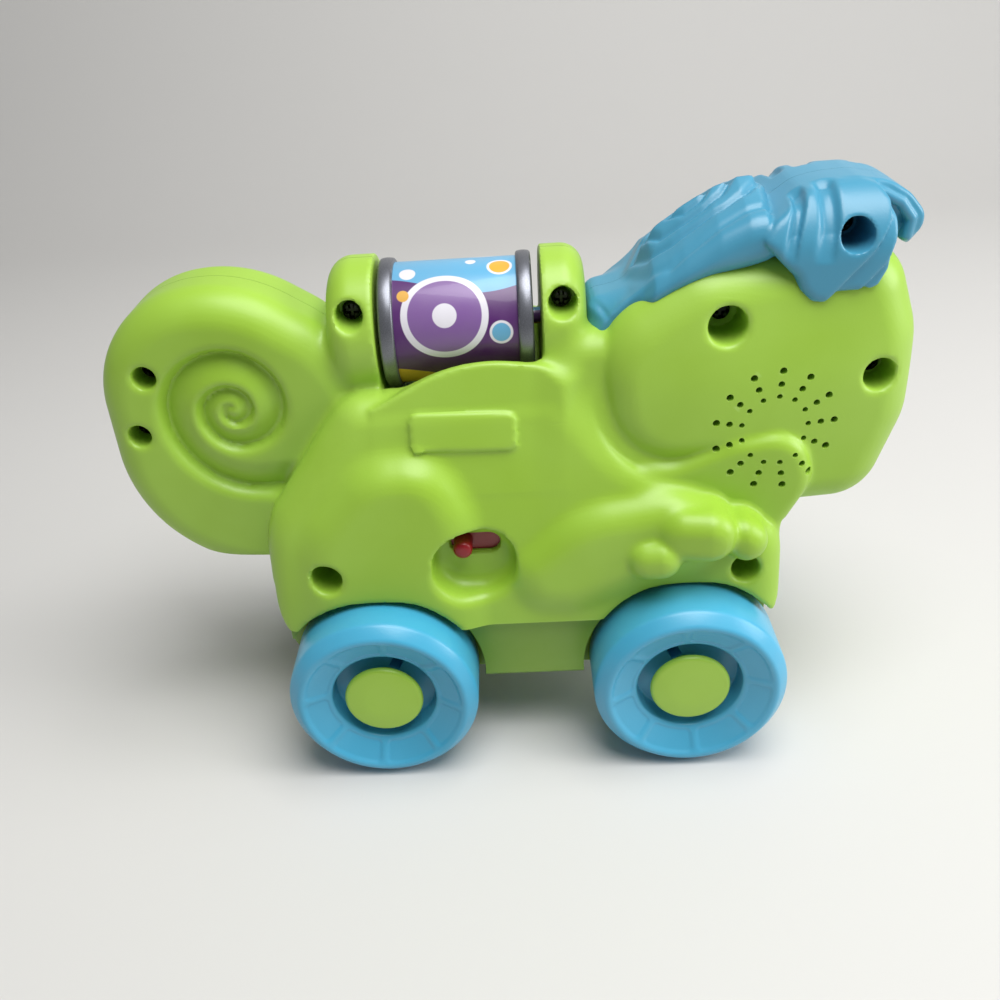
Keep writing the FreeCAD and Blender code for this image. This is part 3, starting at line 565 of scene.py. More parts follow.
def streaks(tree, stretch, turned_by=(0, 0, 0), detail=2.0):
    """Cloudy values drawn out into lines."""
    drawn = add_node(tree, "Mapping", {"Vector": own_place(tree), "Rotation": turned_by, "Scale": stretch})
    return add_node(tree, "TexNoise", {"Vector": drawn.outputs[0], "Scale": 1.0, "Detail": detail}).outputs[0]


def sharp_edges(tree):
    """High on the piece's outer edges, low in its hollows."""
    return add_node(tree, "NewGeometry").outputs["Pointiness"]


def bumped(tree, height, strength, distance):
    """The surface normal over fine relief."""
    return add_node(tree, "Bump", {"Height": height, "Strength": strength, "Distance": distance}).outputs[0]


def placed(tree, group, values):
    """A node group in a material, with the material's own values."""
    return add_node(tree, "Group", values, node_tree=group).outputs


# Moulded plastic: the pigment drifts a little, the mould's fine grain shows, corners are polished pale by
# hands and short scratches catch the light.
moulded, given, result = new_group(
    "moulded_surface",
    [("Tone", "Color", (0.5, 0.5, 0.5, 1)), ("Rough", "Float", 0.4), ("Wear", "Float", 0.2)],
    [("Color", "Color"), ("Roughness", "Float"), ("Height", "Float")])
darker = shaded(moulded, given["Tone"], value=0.88, saturation=1.05)
drifted = mixed(moulded, mapped(moulded, noise(moulded, 16.0, 4.0), 0.35, 0.65), darker, given["Tone"])
rubbed = mapped(moulded, sharp_edges(moulded), 0.515, 0.60)
broken = mapped(moulded, noise(moulded, 160.0, 5.0), 0.35, 0.65, 0.25, 1.0)
wear = times(moulded, times(moulded, rubbed, broken), given["Wear"])
paler = shaded(moulded, given["Tone"], value=1.35, saturation=0.72)
moulded.links.new(mixed(moulded, wear, drifted, paler), result["Color"])
hair = streaks(moulded, (40, 900, 260), (0.5, 0.9, 0.3))
patch = mapped(moulded, noise(moulded, 30.0, 2.0), 0.5, 0.66)
scratch = times(moulded, mapped(moulded, hair, 0.66, 0.72), patch)
smudge = mapped(moulded, noise(moulded, 45.0, 4.0), 0.3, 0.7, -0.05, 0.06)
dull = plus(moulded, given["Rough"], smudge)
moulded.links.new(math_node(moulded, "MULTIPLY_ADD", scratch, 0.12, dull), result["Roughness"])
grain = noise(moulded, 1500.0, 2.0, 0.6)
moulded.links.new(math_node(moulded, "MULTIPLY_ADD", scratch, -0.6, grain), result["Height"])


def moulded_plastic(name, tone, rough=0.42, wear=0.25):
    """Coloured plastic from a polished or finely grained mould."""
    material, tree = new_material(name)
    surface = placed(tree, moulded, {"Tone": tone, "Rough": rough, "Wear": wear})
    finish_material(tree, {
        "Base Color": surface["Color"], "Roughness": surface["Roughness"], "IOR": 1.5,
        "Normal": bumped(tree, surface["Height"], 0.35, 0.00006),
        "Coat Weight": 0.06, "Coat Roughness": 0.22})
    return material


def dress(piece, material, body, slot, *nodes):
    """Gives a piece its material, the body it rides and the nodes it stands for. Its colour slot is not used.
    """
    piece.data.materials.clear()
    piece.data.materials.append(material)
    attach(piece, body)
    if nodes:
        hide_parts(*nodes)


green_plastic = moulded_plastic("green_plastic", green_tone)
for piece, node in ((right_half, "right_shell"), (left_half, "left_shell")):
    dress(piece, green_plastic, "toy_body", "green_shell", node)

# Board posts: four round green posts, moulded with the right half. They stand inside it and carry the
# circuit board.
post_radius, post_reach = 2.6, (-30, -20.05)
post_places = [(-31, 61), (15, 61), (-31, 89), (15, 89)]
board_posts = new_piece("board_posts", *[slab(disc(x, z, post_radius, 24), *post_reach)
                                         for x, z in post_places])
dress(board_posts, green_plastic, "toy_body", "green_shell")

# Crest: a blue plume in two moulded halves, screwed on from the right: tuft, leaf along the head, frill at
# the neck, and under them a skin that lies on the head. Its locks are carved by valleys and by steps between
# overlapping plates.
crest_tone = (0.072, 0.315, 0.475, 1)
at = Raster(step=0.5, x_span=(22, 119), y_span=(-28, 2), z_span=(124, 170.5))
tuft_corners = [(71.2, 156.0, 2), (77, 149.8, 3), (80.4, 146.4, 3), (82.0, 142.8, 3), (85.2, 139.4, 3),
                (89, 138.9, 3), (92, 140.6, 4), (97.2, 140.7, 4), (100.9, 139.3, 3), (104.4, 141, 3),
                (106.9, 146.3, 4), (107.4, 152, 4), (107.2, 160, 5), (104, 166.5, 5), (100, 169.6, 6),
                (90, 168.3, 10), (83, 166.4, 8), (78.5, 163.2, 4), (74.5, 160.6, 6)]
tuft_half, tuft_rim = 25.4, 3.0
crown_flat, crown_spread, crown_low, crown_rise, crown_scale = 7.5, 17.7, 149.0, 19.3, 18
valley_outs = (13, 18.6, 22.1, 24.5)
strand_valleys = (((81.8, 81.0, 79.6, 78.4), 1.5, 1.5), ((88.7, 88.6, 88.4, 87.4), 2.3, 1.7))


def rising(value, low, high):
    """Nought below the low value, one over the high value."""
    return np.clip((value - low) / (high - low), 0, 1)


tuft = puffed(sides_of(tuft_corners), at.out - tuft_half, tuft_rim)
crown = np.hypot(np.maximum(at.out - crown_flat, 0) / crown_spread,
                 np.maximum(at.above - crown_low, 0) / crown_rise)
tuft = joined_inside(tuft, (crown - 1) * crown_scale, 1.6)
strands = np.zeros_like(tuft)
for valley_line, width, depth in strand_valleys:
    middle = np.interp(at.out, valley_outs, valley_line)
    strands = np.maximum(strands, depth * np.exp(-((at.along - middle) / width) ** 4))
tuft = tuft + strands * rising(at.above, 150, 157) * rising(at.out, 8.5, 11.5)
plate_edges = [[(60, 180), (93, 180), (93, 170), (102.4, 167.0), (104.3, 164.0), (104.2, 160.6),
                (103.3, 158.0), (101.8, 155.3), (99.3, 151.5), (94.6, 146.2), (90.0, 140.8), (84, 133),
                (60, 130)],
               [(60, 180), (106, 180), (106, 165), (106.4, 156.5), (105.2, 152.7), (104.0, 149.2),
                (100.6, 145.1), (97.0, 141.2), (91, 134), (60, 125)]]
plate_step = 1.1
layers = [joined_inside(tuft + k * plate_step, sides_of([(x, z, 0) for x, z in edge]), 0.5)
          for k, edge in enumerate(plate_edges)]
tuft = joined(joined(layers[0], layers[1], 0.4), tuft + 2 * plate_step, 0.4)
lock_corners = [(82, 161.0, 2), (86, 165.8, 8), (91, 167.4, 8), (98, 167.8, 14), (106.5, 166.9, 14),
                (113, 162.8, 8), (117.4, 157.6, 5), (117.4, 153.8, 5), (113.8, 149.2, 0.8),
                (111.4, 150.6, 0.8), (112.4, 156, 3), (109.4, 159.9, 5), (102.4, 163.8, 5), (95, 164.5, 5),
                (84, 160.5, 2)]
lock_half, lock_rim, bead_radius = 10.2, 1.4, 1.3
lock = puffed(sides_of(lock_corners), at.out - lock_half, lock_rim)
bead_line = [(93, 166.4), (98, 165.9), (104.6, 163.9), (110.2, 160.8), (113.6, 156.4), (113.0, 151.6)]
bead = np.hypot(line_distance(bead_line, at.plan_x, at.plan_z)[:, None, :], at.out - lock_half) - bead_radius
web_corners = [(98, 165, 0), (106, 163.6, 4), (111, 159.6, 4), (112.5, 154, 3), (109, 147, 4),
               (104, 141.5, 3), (98, 150, 0)]
web_half, web_rim = 8.4, 1.5
web = puffed(sides_of(web_corners), at.out - web_half, web_rim)
tuft = joined(joined(joined(tuft, lock, 1.0), bead, 0.8), web, 0.6)
leaf_corners = [(38.6, 138.6, 2.5), (40.2, 146.0, 3), (43.6, 157, 3), (52.3, 165, 8), (61.2, 172, 8),
                (77.5, 172, 0), (77.3, 163, 5), (76.5, 150.6, 4), (71, 148.8, 4), (60.0, 146.4, 10),
                (50.4, 142.4, 6), (44.5, 139.0, 4)]
leaf_half, leaf_rim, leaf_slope = 22.4, 5.0, 0.84
ridge = np.interp(at.along, (36, 39, 41.6, 44.4, 52.3, 61.2, 68.5, 73, 77, 84),
                  (140.5, 146.0, 149.4, 154.0, 159.8, 165.0, 167.6, 168.0, 165.0, 158))
drop = np.interp(at.out, (0, 6, 22), (0, 3.4, 9.4)) * np.interp(at.along, (48, 70), (1, 0.72))
leaf = puffed(sides_of(leaf_corners), at.out - leaf_half, leaf_rim)
leaf = joined_inside(leaf, leaf_slope * (at.above - ridge + drop), leaf_rim)
folds = [([(41.0, 0), (44.5, 8), (50, 9.8), (57, 9.6), (64, 8.8), (69.5, 6.5), (73, 3.0), (74, 0)], 1.2, 1.0),
         ([(44.2, 0), (47.5, 4.6), (53.6, 5.4), (59, 5.0), (64, 3.2), (66.5, 0)], 1.1, 0.9),
         ([(50, 0), (54, 2.4), (58.5, 1.8), (60.5, 0)], 1.0, 0.8),
         ([(38.5, 5.0), (43, 15), (49, 17.8), (57, 17.0), (66.7, 15.2), (74, 14)], 0.7, 1.4)]
for fold_line, depth, width in folds:
    leaf = leaf + groove(fold_line, depth, width, at.along, at.out)
frill_corners = [(26.3, 126.2, 4), (34.0, 126.4, 3), (35.6, 134.4, 3), (42, 136, 2), (43, 140.2, 2),
                 (38.5, 139.6, 4), (27.0, 139.0, 4)]
frill_half, frill_lean, frill_rim = 16.2, 0.25, 7.5
frill_fold = [(26, 138.6), (29.5, 137.6), (33.2, 134.4), (36.0, 129.0)]
frill = puffed(sides_of(frill_corners), at.out - frill_half + frill_lean * ramp(at.above, 131, 2), frill_rim)
frill = frill + groove(frill_fold, 0.8, 0.9, at.plan_x, at.plan_z)[:, None, :] * rising(at.out, 8, 13)
skin_corners = [(24, 124, 0), (37, 130, 3), (48, 142, 3), (48, 156, 0), (24, 156, 0)]
skin_height, skin_half, skin_rim = 1.5, 16.5, 4.0
skin = joined_inside(puffed(sides_of(head_corners), over_head_side(), head_rim) - skin_height,
                     puffed(sides_of(skin_corners), at.out - skin_half, skin_rim), 1.2)
crest = joined(joined(joined(tuft, leaf, 0.8), frill, 2.0), skin, 4.0)
crest_seat, crest_gap = 8.0, 0.08
crest = cut(crest, well(95.5, 156.5, 4.4, crest_seat), fillet=0.7)
crest_plastic = moulded_plastic("crest_plastic", crest_tone, rough=0.36, wear=0.5)
for name, node, mirror, side in (("crest_right_half", "crest_right", False, -1),
                                 ("crest_left_half", "crest_left", True, 1)):
    piece = field_mesh(name, crest, mirror)
    cut_away(piece, [slab(rectangle(0, 140, 100, 190), side * crest_gap, -side * 10)])
    dress(piece, crest_plastic, "toy_body", "blue_crest", node)

# Screws: dark steel pan heads with a cross recess, driven into the halves, the crest, the base pan and the
# battery door.
shell_screw_places = [(-101.1, 124.9, 8), (-106.7, 106.4, 8), (-39.8, 139.2, 8), (19.6, 139.6, 8),
                      (63.4, 134.7, 12), (106.8, 116.8, 12), (-54.1, 65.9, 12), (70.7, 63.3, 12)]
chassis_screw_places = [(x, y) for x in (-58, 68) for y in (-16, 16)]
crest_screw_x, crest_screw_z, door_screw_x = 95.7, 156.3, 32.6
chassis_seat, door_seat, door_screw_scale = 38, 25, 0.4
head_radius, shank_radius, bite, chassis_screw_length, door_screw_length = 2.8, 1.4, 12.0, 19, 7
cross_depth, cross_half, cross_edge, cross_reach = 1.1, 0.75, 0.3, 1.75


def turned(outline, sides, place, shift=None):
    """Points and faces of a form turned about an axis, from an outline of radius and reach."""
    points, faces, rings = [], [], []
    for radius, reach in outline:
        rings.append([])
        for k in range(sides if radius > 1e-6 else 1):
            angle = math.tau * k / sides
            moved = reach + (shift(angle, radius, reach) if shift else 0)
            rings[-1].append(len(points))
            points.append(place(radius * math.cos(angle), radius * math.sin(angle), moved))
    for one, two in zip(rings, rings[1:]):
        for k in range(sides):
            ends = [one[k % len(one)], one[(k + 1) % len(one)], two[(k + 1) % len(two)], two[k % len(two)]]
            faces.append(list(dict.fromkeys(ends)))
    return points, faces


def spaced(points, longest):
    """An open outline with extra points on its long runs."""
    close = [points[0]]
    for one, two in zip(points, points[1:]):
        count = math.ceil(math.hypot(two[0] - one[0], two[1] - one[1]) / longest)
        close += [one + (two - one) * k / count for k in range(1, count + 1)]
    return close


def crosswise(x, z, start=0, way=1):
    """Places a form turned about a line across the toy."""
    return lambda a, b, reach: (x + a, start + way * reach, z + b)


def standing(x, y, start, way):
    """Places a form turned about an upright line."""
    return lambda a, b, reach: (x + a, y + b, start + way * reach)


def screw(place, length):
    """A pan-head screw whose head starts at reach 0 and rises to 2, its shank going down."""
    def cross(angle, radius, reach):
        beside = min(abs(radius * math.cos(angle)), abs(radius * math.sin(angle)))
        share = min(1, max(0, (cross_half - beside) / cross_edge))
        return -cross_depth * share * (radius < cross_reach) * (reach > 1.0)
    head = rounded([(0, 2.0, 0), (head_radius, 1.9, 1.1), (head_radius, 0, 0.2), (shank_radius, 0, 0)], 0.3)
    shank = [(shank_radius, -length + 1.5), (0.3, -length), (0, -length)]
    top = spaced(head[:2], 0.25) + list(head[2:])
    return turned(top + shank, 48, place, cross)


brushed, given, result = new_group(
    "brushed_metal", [("Tone", "Color", (0.5, 0.5, 0.5, 1)), ("Rough", "Float", 0.3)],
    [("Color", "Color"), ("Roughness", "Float"), ("Height", "Float")])
brush_lines = streaks(brushed, (300, 2600, 300), detail=3.0)
cloud = noise(brushed, 70.0, 4.0)
darker = shaded(brushed, given["Tone"], value=0.62)
brushed.links.new(mixed(brushed, mapped(brushed, cloud, 0.3, 0.6), darker, given["Tone"]), result["Color"])
dull = plus(brushed, given["Rough"], mapped(brushed, cloud, 0.3, 0.7, 0.1, -0.05))
lined = mapped(brushed, brush_lines, 0.3, 0.7, -0.04, 0.06)
brushed.links.new(plus(brushed, dull, lined), result["Roughness"])
brushed.links.new(brush_lines, result["Height"])


def metal(name, tone, rough):
    """Plated or bare metal: brushed grain and dull, darker patches."""
    material, tree = new_material(name)
    surface = placed(tree, brushed, {"Tone": tone, "Rough": rough})
    finish_material(tree, {
        "Base Color": surface["Color"], "Roughness": surface["Roughness"], "Metallic": 1.0,
        "Normal": bumped(tree, surface["Height"], 0.25, 0.00003)})
    return material


screw_steel = metal("screw_steel", (0.055, 0.055, 0.06, 1), 0.4)
for name, node, screws in (
        ("screws_of_shell", "shell_screws",
         [screw(crosswise(x, z, -seat, -1), seat + bite) for x, z, seat in shell_screw_places]),
        ("screw_of_crest", "crest_screw",
         [screw(crosswise(crest_screw_x, crest_screw_z, -crest_seat, -1), crest_seat + bite)]),
        ("screws_of_chassis", "chassis_screws",
         [screw(standing(x, y, chassis_seat, -1), chassis_screw_length) for x, y in chassis_screw_places]),
        ("screw_of_door", "battery_door_screw",
         [screw(standing(door_screw_x, 0, door_seat, -door_screw_scale), door_screw_length)])):
    dress(new_piece(name, *screws), screw_steel, "toy_body", "dark_steel", node)

# Left eye: a domed white plastic button with a printed black pupil and a small painted highlight as its
# glint, pressed into its seat in the left side of the head.
eye_dome = [(0, 23.0, 0), (9, 23.0, 0), (9, 26.4, 1.6), (5.5, 28.3, 8), (0, 28.6, 0)]
eye_tone, pupil_tone, painted_glint_tone = (0.80, 0.80, 0.78, 1), (0.012, 0.011, 0.012, 1), (0.8, 0.8, 0.8, 1)
pupil_place, pupil_radius = (0.0812, 0.0285, 0.1262), 0.0052
painted_glint_place, painted_glint_radius = (0.0790, 0.0285, 0.1290), 0.0013
eye = new_piece("eye_button", turned(rounded(eye_dome, 0.4), 96, crosswise(eye_x, eye_z)))
eye_material, tree = new_material("eye_print")


def round_spot(tree, middle, radius, blur=0.00012):
    """One inside a round spot about a point in metres, nought outside."""
    away = add_node(tree, "VectorMath", {0: own_place(tree), 1: middle}, operation="DISTANCE")
    return mapped(tree, away.outputs["Value"], radius + blur, radius - blur)


surface = placed(tree, moulded, {"Tone": eye_tone, "Rough": 0.2})
color = mixed(tree, round_spot(tree, pupil_place, pupil_radius), surface["Color"], pupil_tone)
# The glint spot is a painted highlight in the pupil.
color = mixed(tree, round_spot(tree, painted_glint_place, painted_glint_radius), color, painted_glint_tone)
finish_material(tree, {"Base Color": color, "Roughness": surface["Roughness"], "Coat Weight": 0.6,
                       "Coat Roughness": 0.06})
dress(eye, eye_material, "toy_body", "eye_white", "left_eye")

# Base pan: tray under the halves in the shell's green, darkened as painted shade, moulded in one piece with
# the wheel arches, the axle bearings, the battery box and deep pits for its screws.
# The pan's tone is the shell's green darkened as painted shade, for the tray that sits low under the body.
pan_shaded_tone = (0.225, 0.39, 0.042, 1)
pan_corners = [(-69.4, 47.86, 0), (-69.4, 36, 12), (-58, 24, 12), (66, 24, 12), (79.5, 36, 12),
               (79.5, 47.86, 0)]
pan_half, pan_low, pan_chamfer, pan_floor, pan_room_half = 37.0, 24.0, 3.0, 26.2, 26.8
pocket_x, pocket_half, pocket_top = (-19.25, 29.25), 17.6, 39
door_low, door_top = 24.0, 25.8
pan = new_piece("pan", slab(rounded(pan_corners), -pan_half, pan_half))


def from_front(y, z, x):
    """Places an outline seen from the front."""
    return x, y, z


def from_above(x, y, z):
    """Places an outline seen from above."""
    return x, y, z


section = [(-pan_half, 60), (-pan_half, pan_low + pan_chamfer), (pan_chamfer - pan_half, pan_low),
           (pan_half - pan_chamfer, pan_low), (pan_half, pan_low + pan_chamfer), (pan_half, 60)]
cut_away(pan, [slab(section, -90, 90, from_front)], keep_common=True)
axle_xs = tuple(axle_places.values())
arches = [slab(disc(x, axle_z, arch_radius, 128), side * arch_depth, side * 60)
          for x in axle_xs for side in (1, -1)]
room_boxes = [slab(rectangle(x0, x1, pan_floor, 60), -pan_room_half, pan_room_half)
              for x0, x1 in ((-67.2, -44), (-35, -23.2), (40.2, 48), (59, 77.2))]
side_room = [slab(rectangle(-2, 17, pan_floor, 60), side * 23.5, side * 34.8) for side in (1, -1)]
pocket = slab(rectangle(*pocket_x, 20, pocket_top), -pocket_half, pocket_half)
door_bed = slab(rectangle(-21.05, 35.25, 20, door_top), -19.4, 19.4)
pits = [slab(disc(x, y, radius, 32), 10, top, from_above)
        for x, y in chassis_screw_places for radius, top in ((3.4, chassis_seat), (1.5, 60))]
bores = [slab(disc(x, axle_z, 2.1, 32), -45, 45) for x in axle_xs]
lugs = [slab(rectangle(x0, x1, 20, top), side * arch_depth, side * 60)
        for x0, x1, top in ((-90, -67.2, 60), (-90, -58, 44), (74, 95, 60)) for side in (1, -1)]
door_thread = slab(disc(door_screw_x, 0, 1.5, 24), 20, 36, from_above)
hollows = lugs + arches + room_boxes + side_room + [pocket, door_bed] + bores + pits + [door_thread]
cut_away(pan, *[[form] for form in hollows])


def ease_edges(piece, width, weld=0.0):
    """Rounds the hard edges of a piece. On a welded solid of the frame the modifiers stay."""
    if weld:
        welding = piece.modifiers.new("weld", "WELD")
        welding.merge_threshold = weld
    easing = piece.modifiers.new("ease", "BEVEL")
    easing.width, easing.segments, easing.limit_method = width * 0.001, 2, "ANGLE"
    easing.angle_limit = math.radians(32)
    if not weld:
        settle(piece)


ease_edges(pan, 0.45)
# The pan's material carries that painted shade; the battery door shares it.
pan_shaded_plastic = moulded_plastic("pan_shaded_plastic", pan_shaded_tone)
dress(pan, pan_shaded_plastic, "toy_body", "green_shell", "base_pan")

# Battery door: a flat lid with rounded corners and three finger grooves, moulded in the pan's plastic, whose
# green is darkened as painted shade. It closes the battery box from below and is held by one screw near its
# front edge.
door = new_piece("door_lid", slab(rounded_rectangle(-20.9, 35.1, -19.25, 19.25, 2, 0.5), door_low, door_top,
                                  from_above))
door_grooves = [slab(rounded_rectangle(x, x + 1.6, -9, 9, 0.7, 0.3), 20, 24.5, from_above)
                for x in (-17, -13.5, -10)]
sink = slab(disc(door_screw_x, 0, 3.0, 48), 20, door_seat, from_above)
through = slab(disc(door_screw_x, 0, 1.5, 24), 20, 30, from_above)
cut_away(door, door_grooves, [sink], [through])
ease_edges(door, 0.25)
dress(door, pan_shaded_plastic, "toy_body", "green_shell", "battery_door")

# Cells: three battery cells in dark film sleeves with a copper band, side by side, the middle one the other
# way round. Each is held by a coil spring of nickel-plated wire.
cell_rows = ((-11.2, 1), (0.0, -1), (11.2, 1))
cell_radius, cell_length, cell_z, tip_radius, tip_rise, spring_length = 5.25, 43.5, 31.0, 1.9, 1.0, 3.0
cell_end = spring_length + cell_length
cell_outline = rounded([(0, spring_length, 0), (cell_radius, spring_length, 0.8),
                        (cell_radius, cell_end, 0.8), (2.6, cell_end, 0), (2.6, cell_end - 0.2, 0),
                        (tip_radius, cell_end - 0.2, 0), (tip_radius, cell_end + tip_rise, 0.4),
                        (0, cell_end + tip_rise, 0)], 0.3)
coil_turns, coil_radius, coil_taper, wire_radius, wire_sides, coil_steps = 3, 2.6, 1.0, 0.3, 8, 96


def coil_spring(start, facing, y):
    """Points and faces of a tapered coil of wire."""
    points, faces = [], []
    for k in range(coil_steps + 1):
        angle, share = math.tau * coil_turns * k / coil_steps, k / coil_steps
        reach = wire_radius + share * (spring_length - 2 * wire_radius)
        for m in range(wire_sides):
            turn = math.tau * m / wire_sides
            swell = coil_radius - coil_taper * share + wire_radius * math.cos(turn)
            points.append((start + facing * (reach + wire_radius * math.sin(turn)),
                           y + swell * math.cos(angle), cell_z + swell * math.sin(angle)))
    for k in range(0, coil_steps * wire_sides, wire_sides):
        faces += [[k + m, k + (m + 1) % wire_sides, k + wire_sides + (m + 1) % wire_sides, k + wire_sides + m]
                  for m in range(wire_sides)]
    faces += [list(range(wire_sides)), list(range(coil_steps * wire_sides, (coil_steps + 1) * wire_sides))]
    return points, faces


cells, springs = [], []
for y, facing in cell_rows:
    start = (pocket_x[0] + 0.5) if facing == 1 else (pocket_x[1] - 0.5)
    cells.append(turned(cell_outline, 64, lambda a, b, reach: (start + facing * reach, y + a, cell_z + b)))
    springs.append(coil_spring(start, facing, y))
cell_piece = new_piece("cells", *cells)
jacket, tree = new_material("cell_jacket")
along_cell = add_node(tree, "SeparateXYZ", {0: own_place(tree)}).outputs["X"]
cloud = noise(tree, 120.0)
sleeve = mixed(tree, cloud, (0.012, 0.013, 0.015, 1), (0.022, 0.023, 0.026, 1))
copper = mixed(tree, cloud, (0.42, 0.17, 0.06, 1), (0.50, 0.22, 0.09, 1))
finish_material(tree, {
    "Base Color": mixed(tree, mapped(tree, along_cell, 0.0138, 0.0139), sleeve, copper),
    "Roughness": mapped(tree, cloud, 0.2, 0.8, 0.28, 0.4), "Metallic": 0.4, "Coat Weight": 0.3})
dress(cell_piece, jacket, "toy_body", "cell_jacket", "batteries")
nickel = metal("nickel", (0.62, 0.60, 0.56, 1), 0.25)
dress(new_piece("contact_springs", *springs), nickel, "toy_body", "nickel_plate", "battery_springs")

# Loudspeaker: magnet, basket and paper cone, all black, pressed into the head behind the grille. The cone's
# paper shows its fibres.
speaker_z, speaker_face_y = 105.2, -23.1
basket = rounded([(0, 13, 0), (10, 13, 0.6), (10, 6, 0), (17, 6, 1), (20, 1.4, 0), (20, 0, 0.3),
                  (18.2, 0, 0.3), (17.6, 0.8, 0), (16.6, 0.2, 0.8), (15.4, 0.8, 0), (6.2, 3.6, 0),
                  (5.2, 2.6, 1), (0, 1.6, 0)], 0.3)
speaker = new_piece("loudspeaker", turned(basket, 96, crosswise(speaker_x, speaker_z, speaker_face_y)))
paper, tree = new_material("black_cone")
fibre = noise(tree, 900.0, 4.0)
finish_material(tree, {
    "Base Color": mixed(tree, fibre, (0.010, 0.010, 0.010, 1), (0.035, 0.034, 0.032, 1)),
    "Roughness": mapped(tree, fibre, 0.3, 0.7, 0.6, 0.85), "Normal": bumped(tree, fibre, 0.5, 0.0001)})
dress(speaker, paper, "toy_body", "black_resin", "speaker")

# Circuit board: green glass-fibre board on the posts, with chip, capacitor, ball sensor and slide switch
# soldered on. Capacitor and sensor are turned; the others and the battery contacts are the frame's own
# solids with eased edges.
black_plastic = moulded_plastic("black_plastic", (0.014, 0.014, 0.016, 1), rough=0.35, wear=0.4)
capacitor_outline = rounded([(0, 0, 0), (3.1, 0, 0.5), (3.1, 1.4, 0.3), (2.8, 1.7, 0.3), (3.1, 2.0, 0.3),
                             (3.1, 8.4, 0.5), (0, 8.4, 0)], 0.2)
capacitor = new_piece("capacitor_can", turned(capacitor_outline, 48, crosswise(-4, 82, -18.4)))
dress(capacitor, black_plastic, "toy_body", "black_resin", "board_capacitor")
sensor_outline = rounded([(0, 0, 0), (2.6, 0, 0.5), (2.6, 9, 0.5), (0, 9, 0)], 0.2)
sensor = new_piece("ball_sensor", turned(sensor_outline, 48,
                                         lambda a, b, reach: (4 + reach, -15.65 + a, 70 + b)))
dress(sensor, black_plastic, "toy_body", "black_resin", "shake_sensor")
board_mask, tree = new_material("board_mask")
weave = streaks(tree, (420, 10, 420))
track_place = add_node(tree, "Mapping", {"Vector": own_place(tree), "Rotation": (1.5708, 0, 0),
                                         "Scale": (160, 160, 160)}).outputs[0]
tracks = add_node(tree, "TexBrick", {"Vector": track_place, "Mortar Size": 0.04, "Scale": 1.0}).outputs["Fac"]
mask_tone = mixed(tree, weave, (0.008, 0.085, 0.028, 1), (0.014, 0.13, 0.045, 1))
finish_material(tree, {
    "Base Color": mixed(tree, tracks, mask_tone, (0.03, 0.22, 0.08, 1)),
    "Roughness": mapped(tree, weave, 0.3, 0.7, 0.3, 0.45), "Coat Weight": 0.3})
for name, material, width in (("circuit_board", board_mask, 0.2), ("board_chip", black_plastic, 0.25),
                              ("slide_switch", black_plastic, 0.2), ("battery_contacts", nickel, 0.15)):
    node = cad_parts[name]
    ease_edges(node, width, weld=0.00001)
    node.data.materials.clear()
    node.data.materials.append(material)

# Slider of the switch: a red moulded plate that lies behind the dish, with a softly domed knob through the
# slot and a lever into the slide switch. It slides along the slot.
knob_x, knob_z, plate_y, plate_thickness = -12.3, 72.4, -28.65, 1.5
plate_half_x, plate_half_z, lever_half_x, lever_half_z, lever_end = 12.6, 5, 1, 1.05, -24.7
red_plastic = moulded_plastic("red_plastic", (0.31, 0.018, 0.024, 1), rough=0.36, wear=0.35)
knob = rounded([(0, 6.85, 0), (1.6, 6.85, 3), (2.8, 6.1, 1.3), (2.95, 0, 0.4), (3.2, -0.5, 0),
                (0, -0.5, 0)], 0.2)
slider_plate = rounded_rectangle(knob_x - plate_half_x, knob_x + plate_half_x, knob_z - plate_half_z,
                                 knob_z + plate_half_z, 1.2, 0.3)
lever = rectangle(knob_x - lever_half_x, knob_x + lever_half_x, knob_z - lever_half_z, knob_z + lever_half_z)
slider = new_piece("slider", slab(slider_plate, plate_y, plate_y + plate_thickness),
                   turned(knob, 96, crosswise(knob_x, knob_z, plate_y, -1)),
                   slab(lever, plate_y + 1.4, lever_end))
dress(slider, red_plastic, "slider", "red_knob", "switch_slider")

# Drum: a plastic barrel in a printed sleeve between two rings painted silver. It turns on short journals in
# the two pillars.
drum_x = (-31.5, 10.9)
ring_radius, ring_width, ring_crown, barrel_radius, journal_radius = 19.0, 4.3, 0.35, 17.5, 2.4


def on_drum(a, b, reach):
    """Places a form turned about the drum's axis."""
    return reach, a, drum_axis_z + b


silver_paint, tree = new_material("silver_paint")
flake = noise(tree, 4200.0, 2.0, 0.7)
cloud = noise(tree, 60.0, 4.0)
worn = times(tree, mapped(tree, sharp_edges(tree), 0.52, 0.6), mapped(tree, cloud, 0.4, 0.6, 0.0, 0.6))
paint = mixed(tree, mapped(tree, flake, 0.3, 0.7), (0.15, 0.155, 0.18, 1), (0.24, 0.25, 0.28, 1))
finish_material(tree, {
    "Base Color": mixed(tree, worn, paint, (0.55, 0.55, 0.56, 1)), "Metallic": 0.75, "Coat Weight": 0.1,
    "Roughness": mapped(tree, cloud, 0.3, 0.7, 0.34, 0.42), "Normal": bumped(tree, flake, 0.3, 0.00003)})
for name, start, node in (("silver_ring_rear", drum_x[0] - 0.4, "drum_ring_rear"),
                          ("silver_ring_front", drum_x[1] + 0.6 - ring_width, "drum_ring_front")):
    ring_outline = rounded([(journal_radius, start, 0), (ring_radius - ring_crown, start, 0.9),
                            (ring_radius, start + ring_width / 2, 6.0),
                            (ring_radius - ring_crown, start + ring_width, 0.9),
                            (journal_radius, start + ring_width, 0)], 0.2)
    ring = new_piece(name, turned(list(ring_outline) + [ring_outline[0]], 192, on_drum))
    dress(ring, silver_paint, "drum", "silver_ring", node)
barrel_start, barrel_end = drum_x
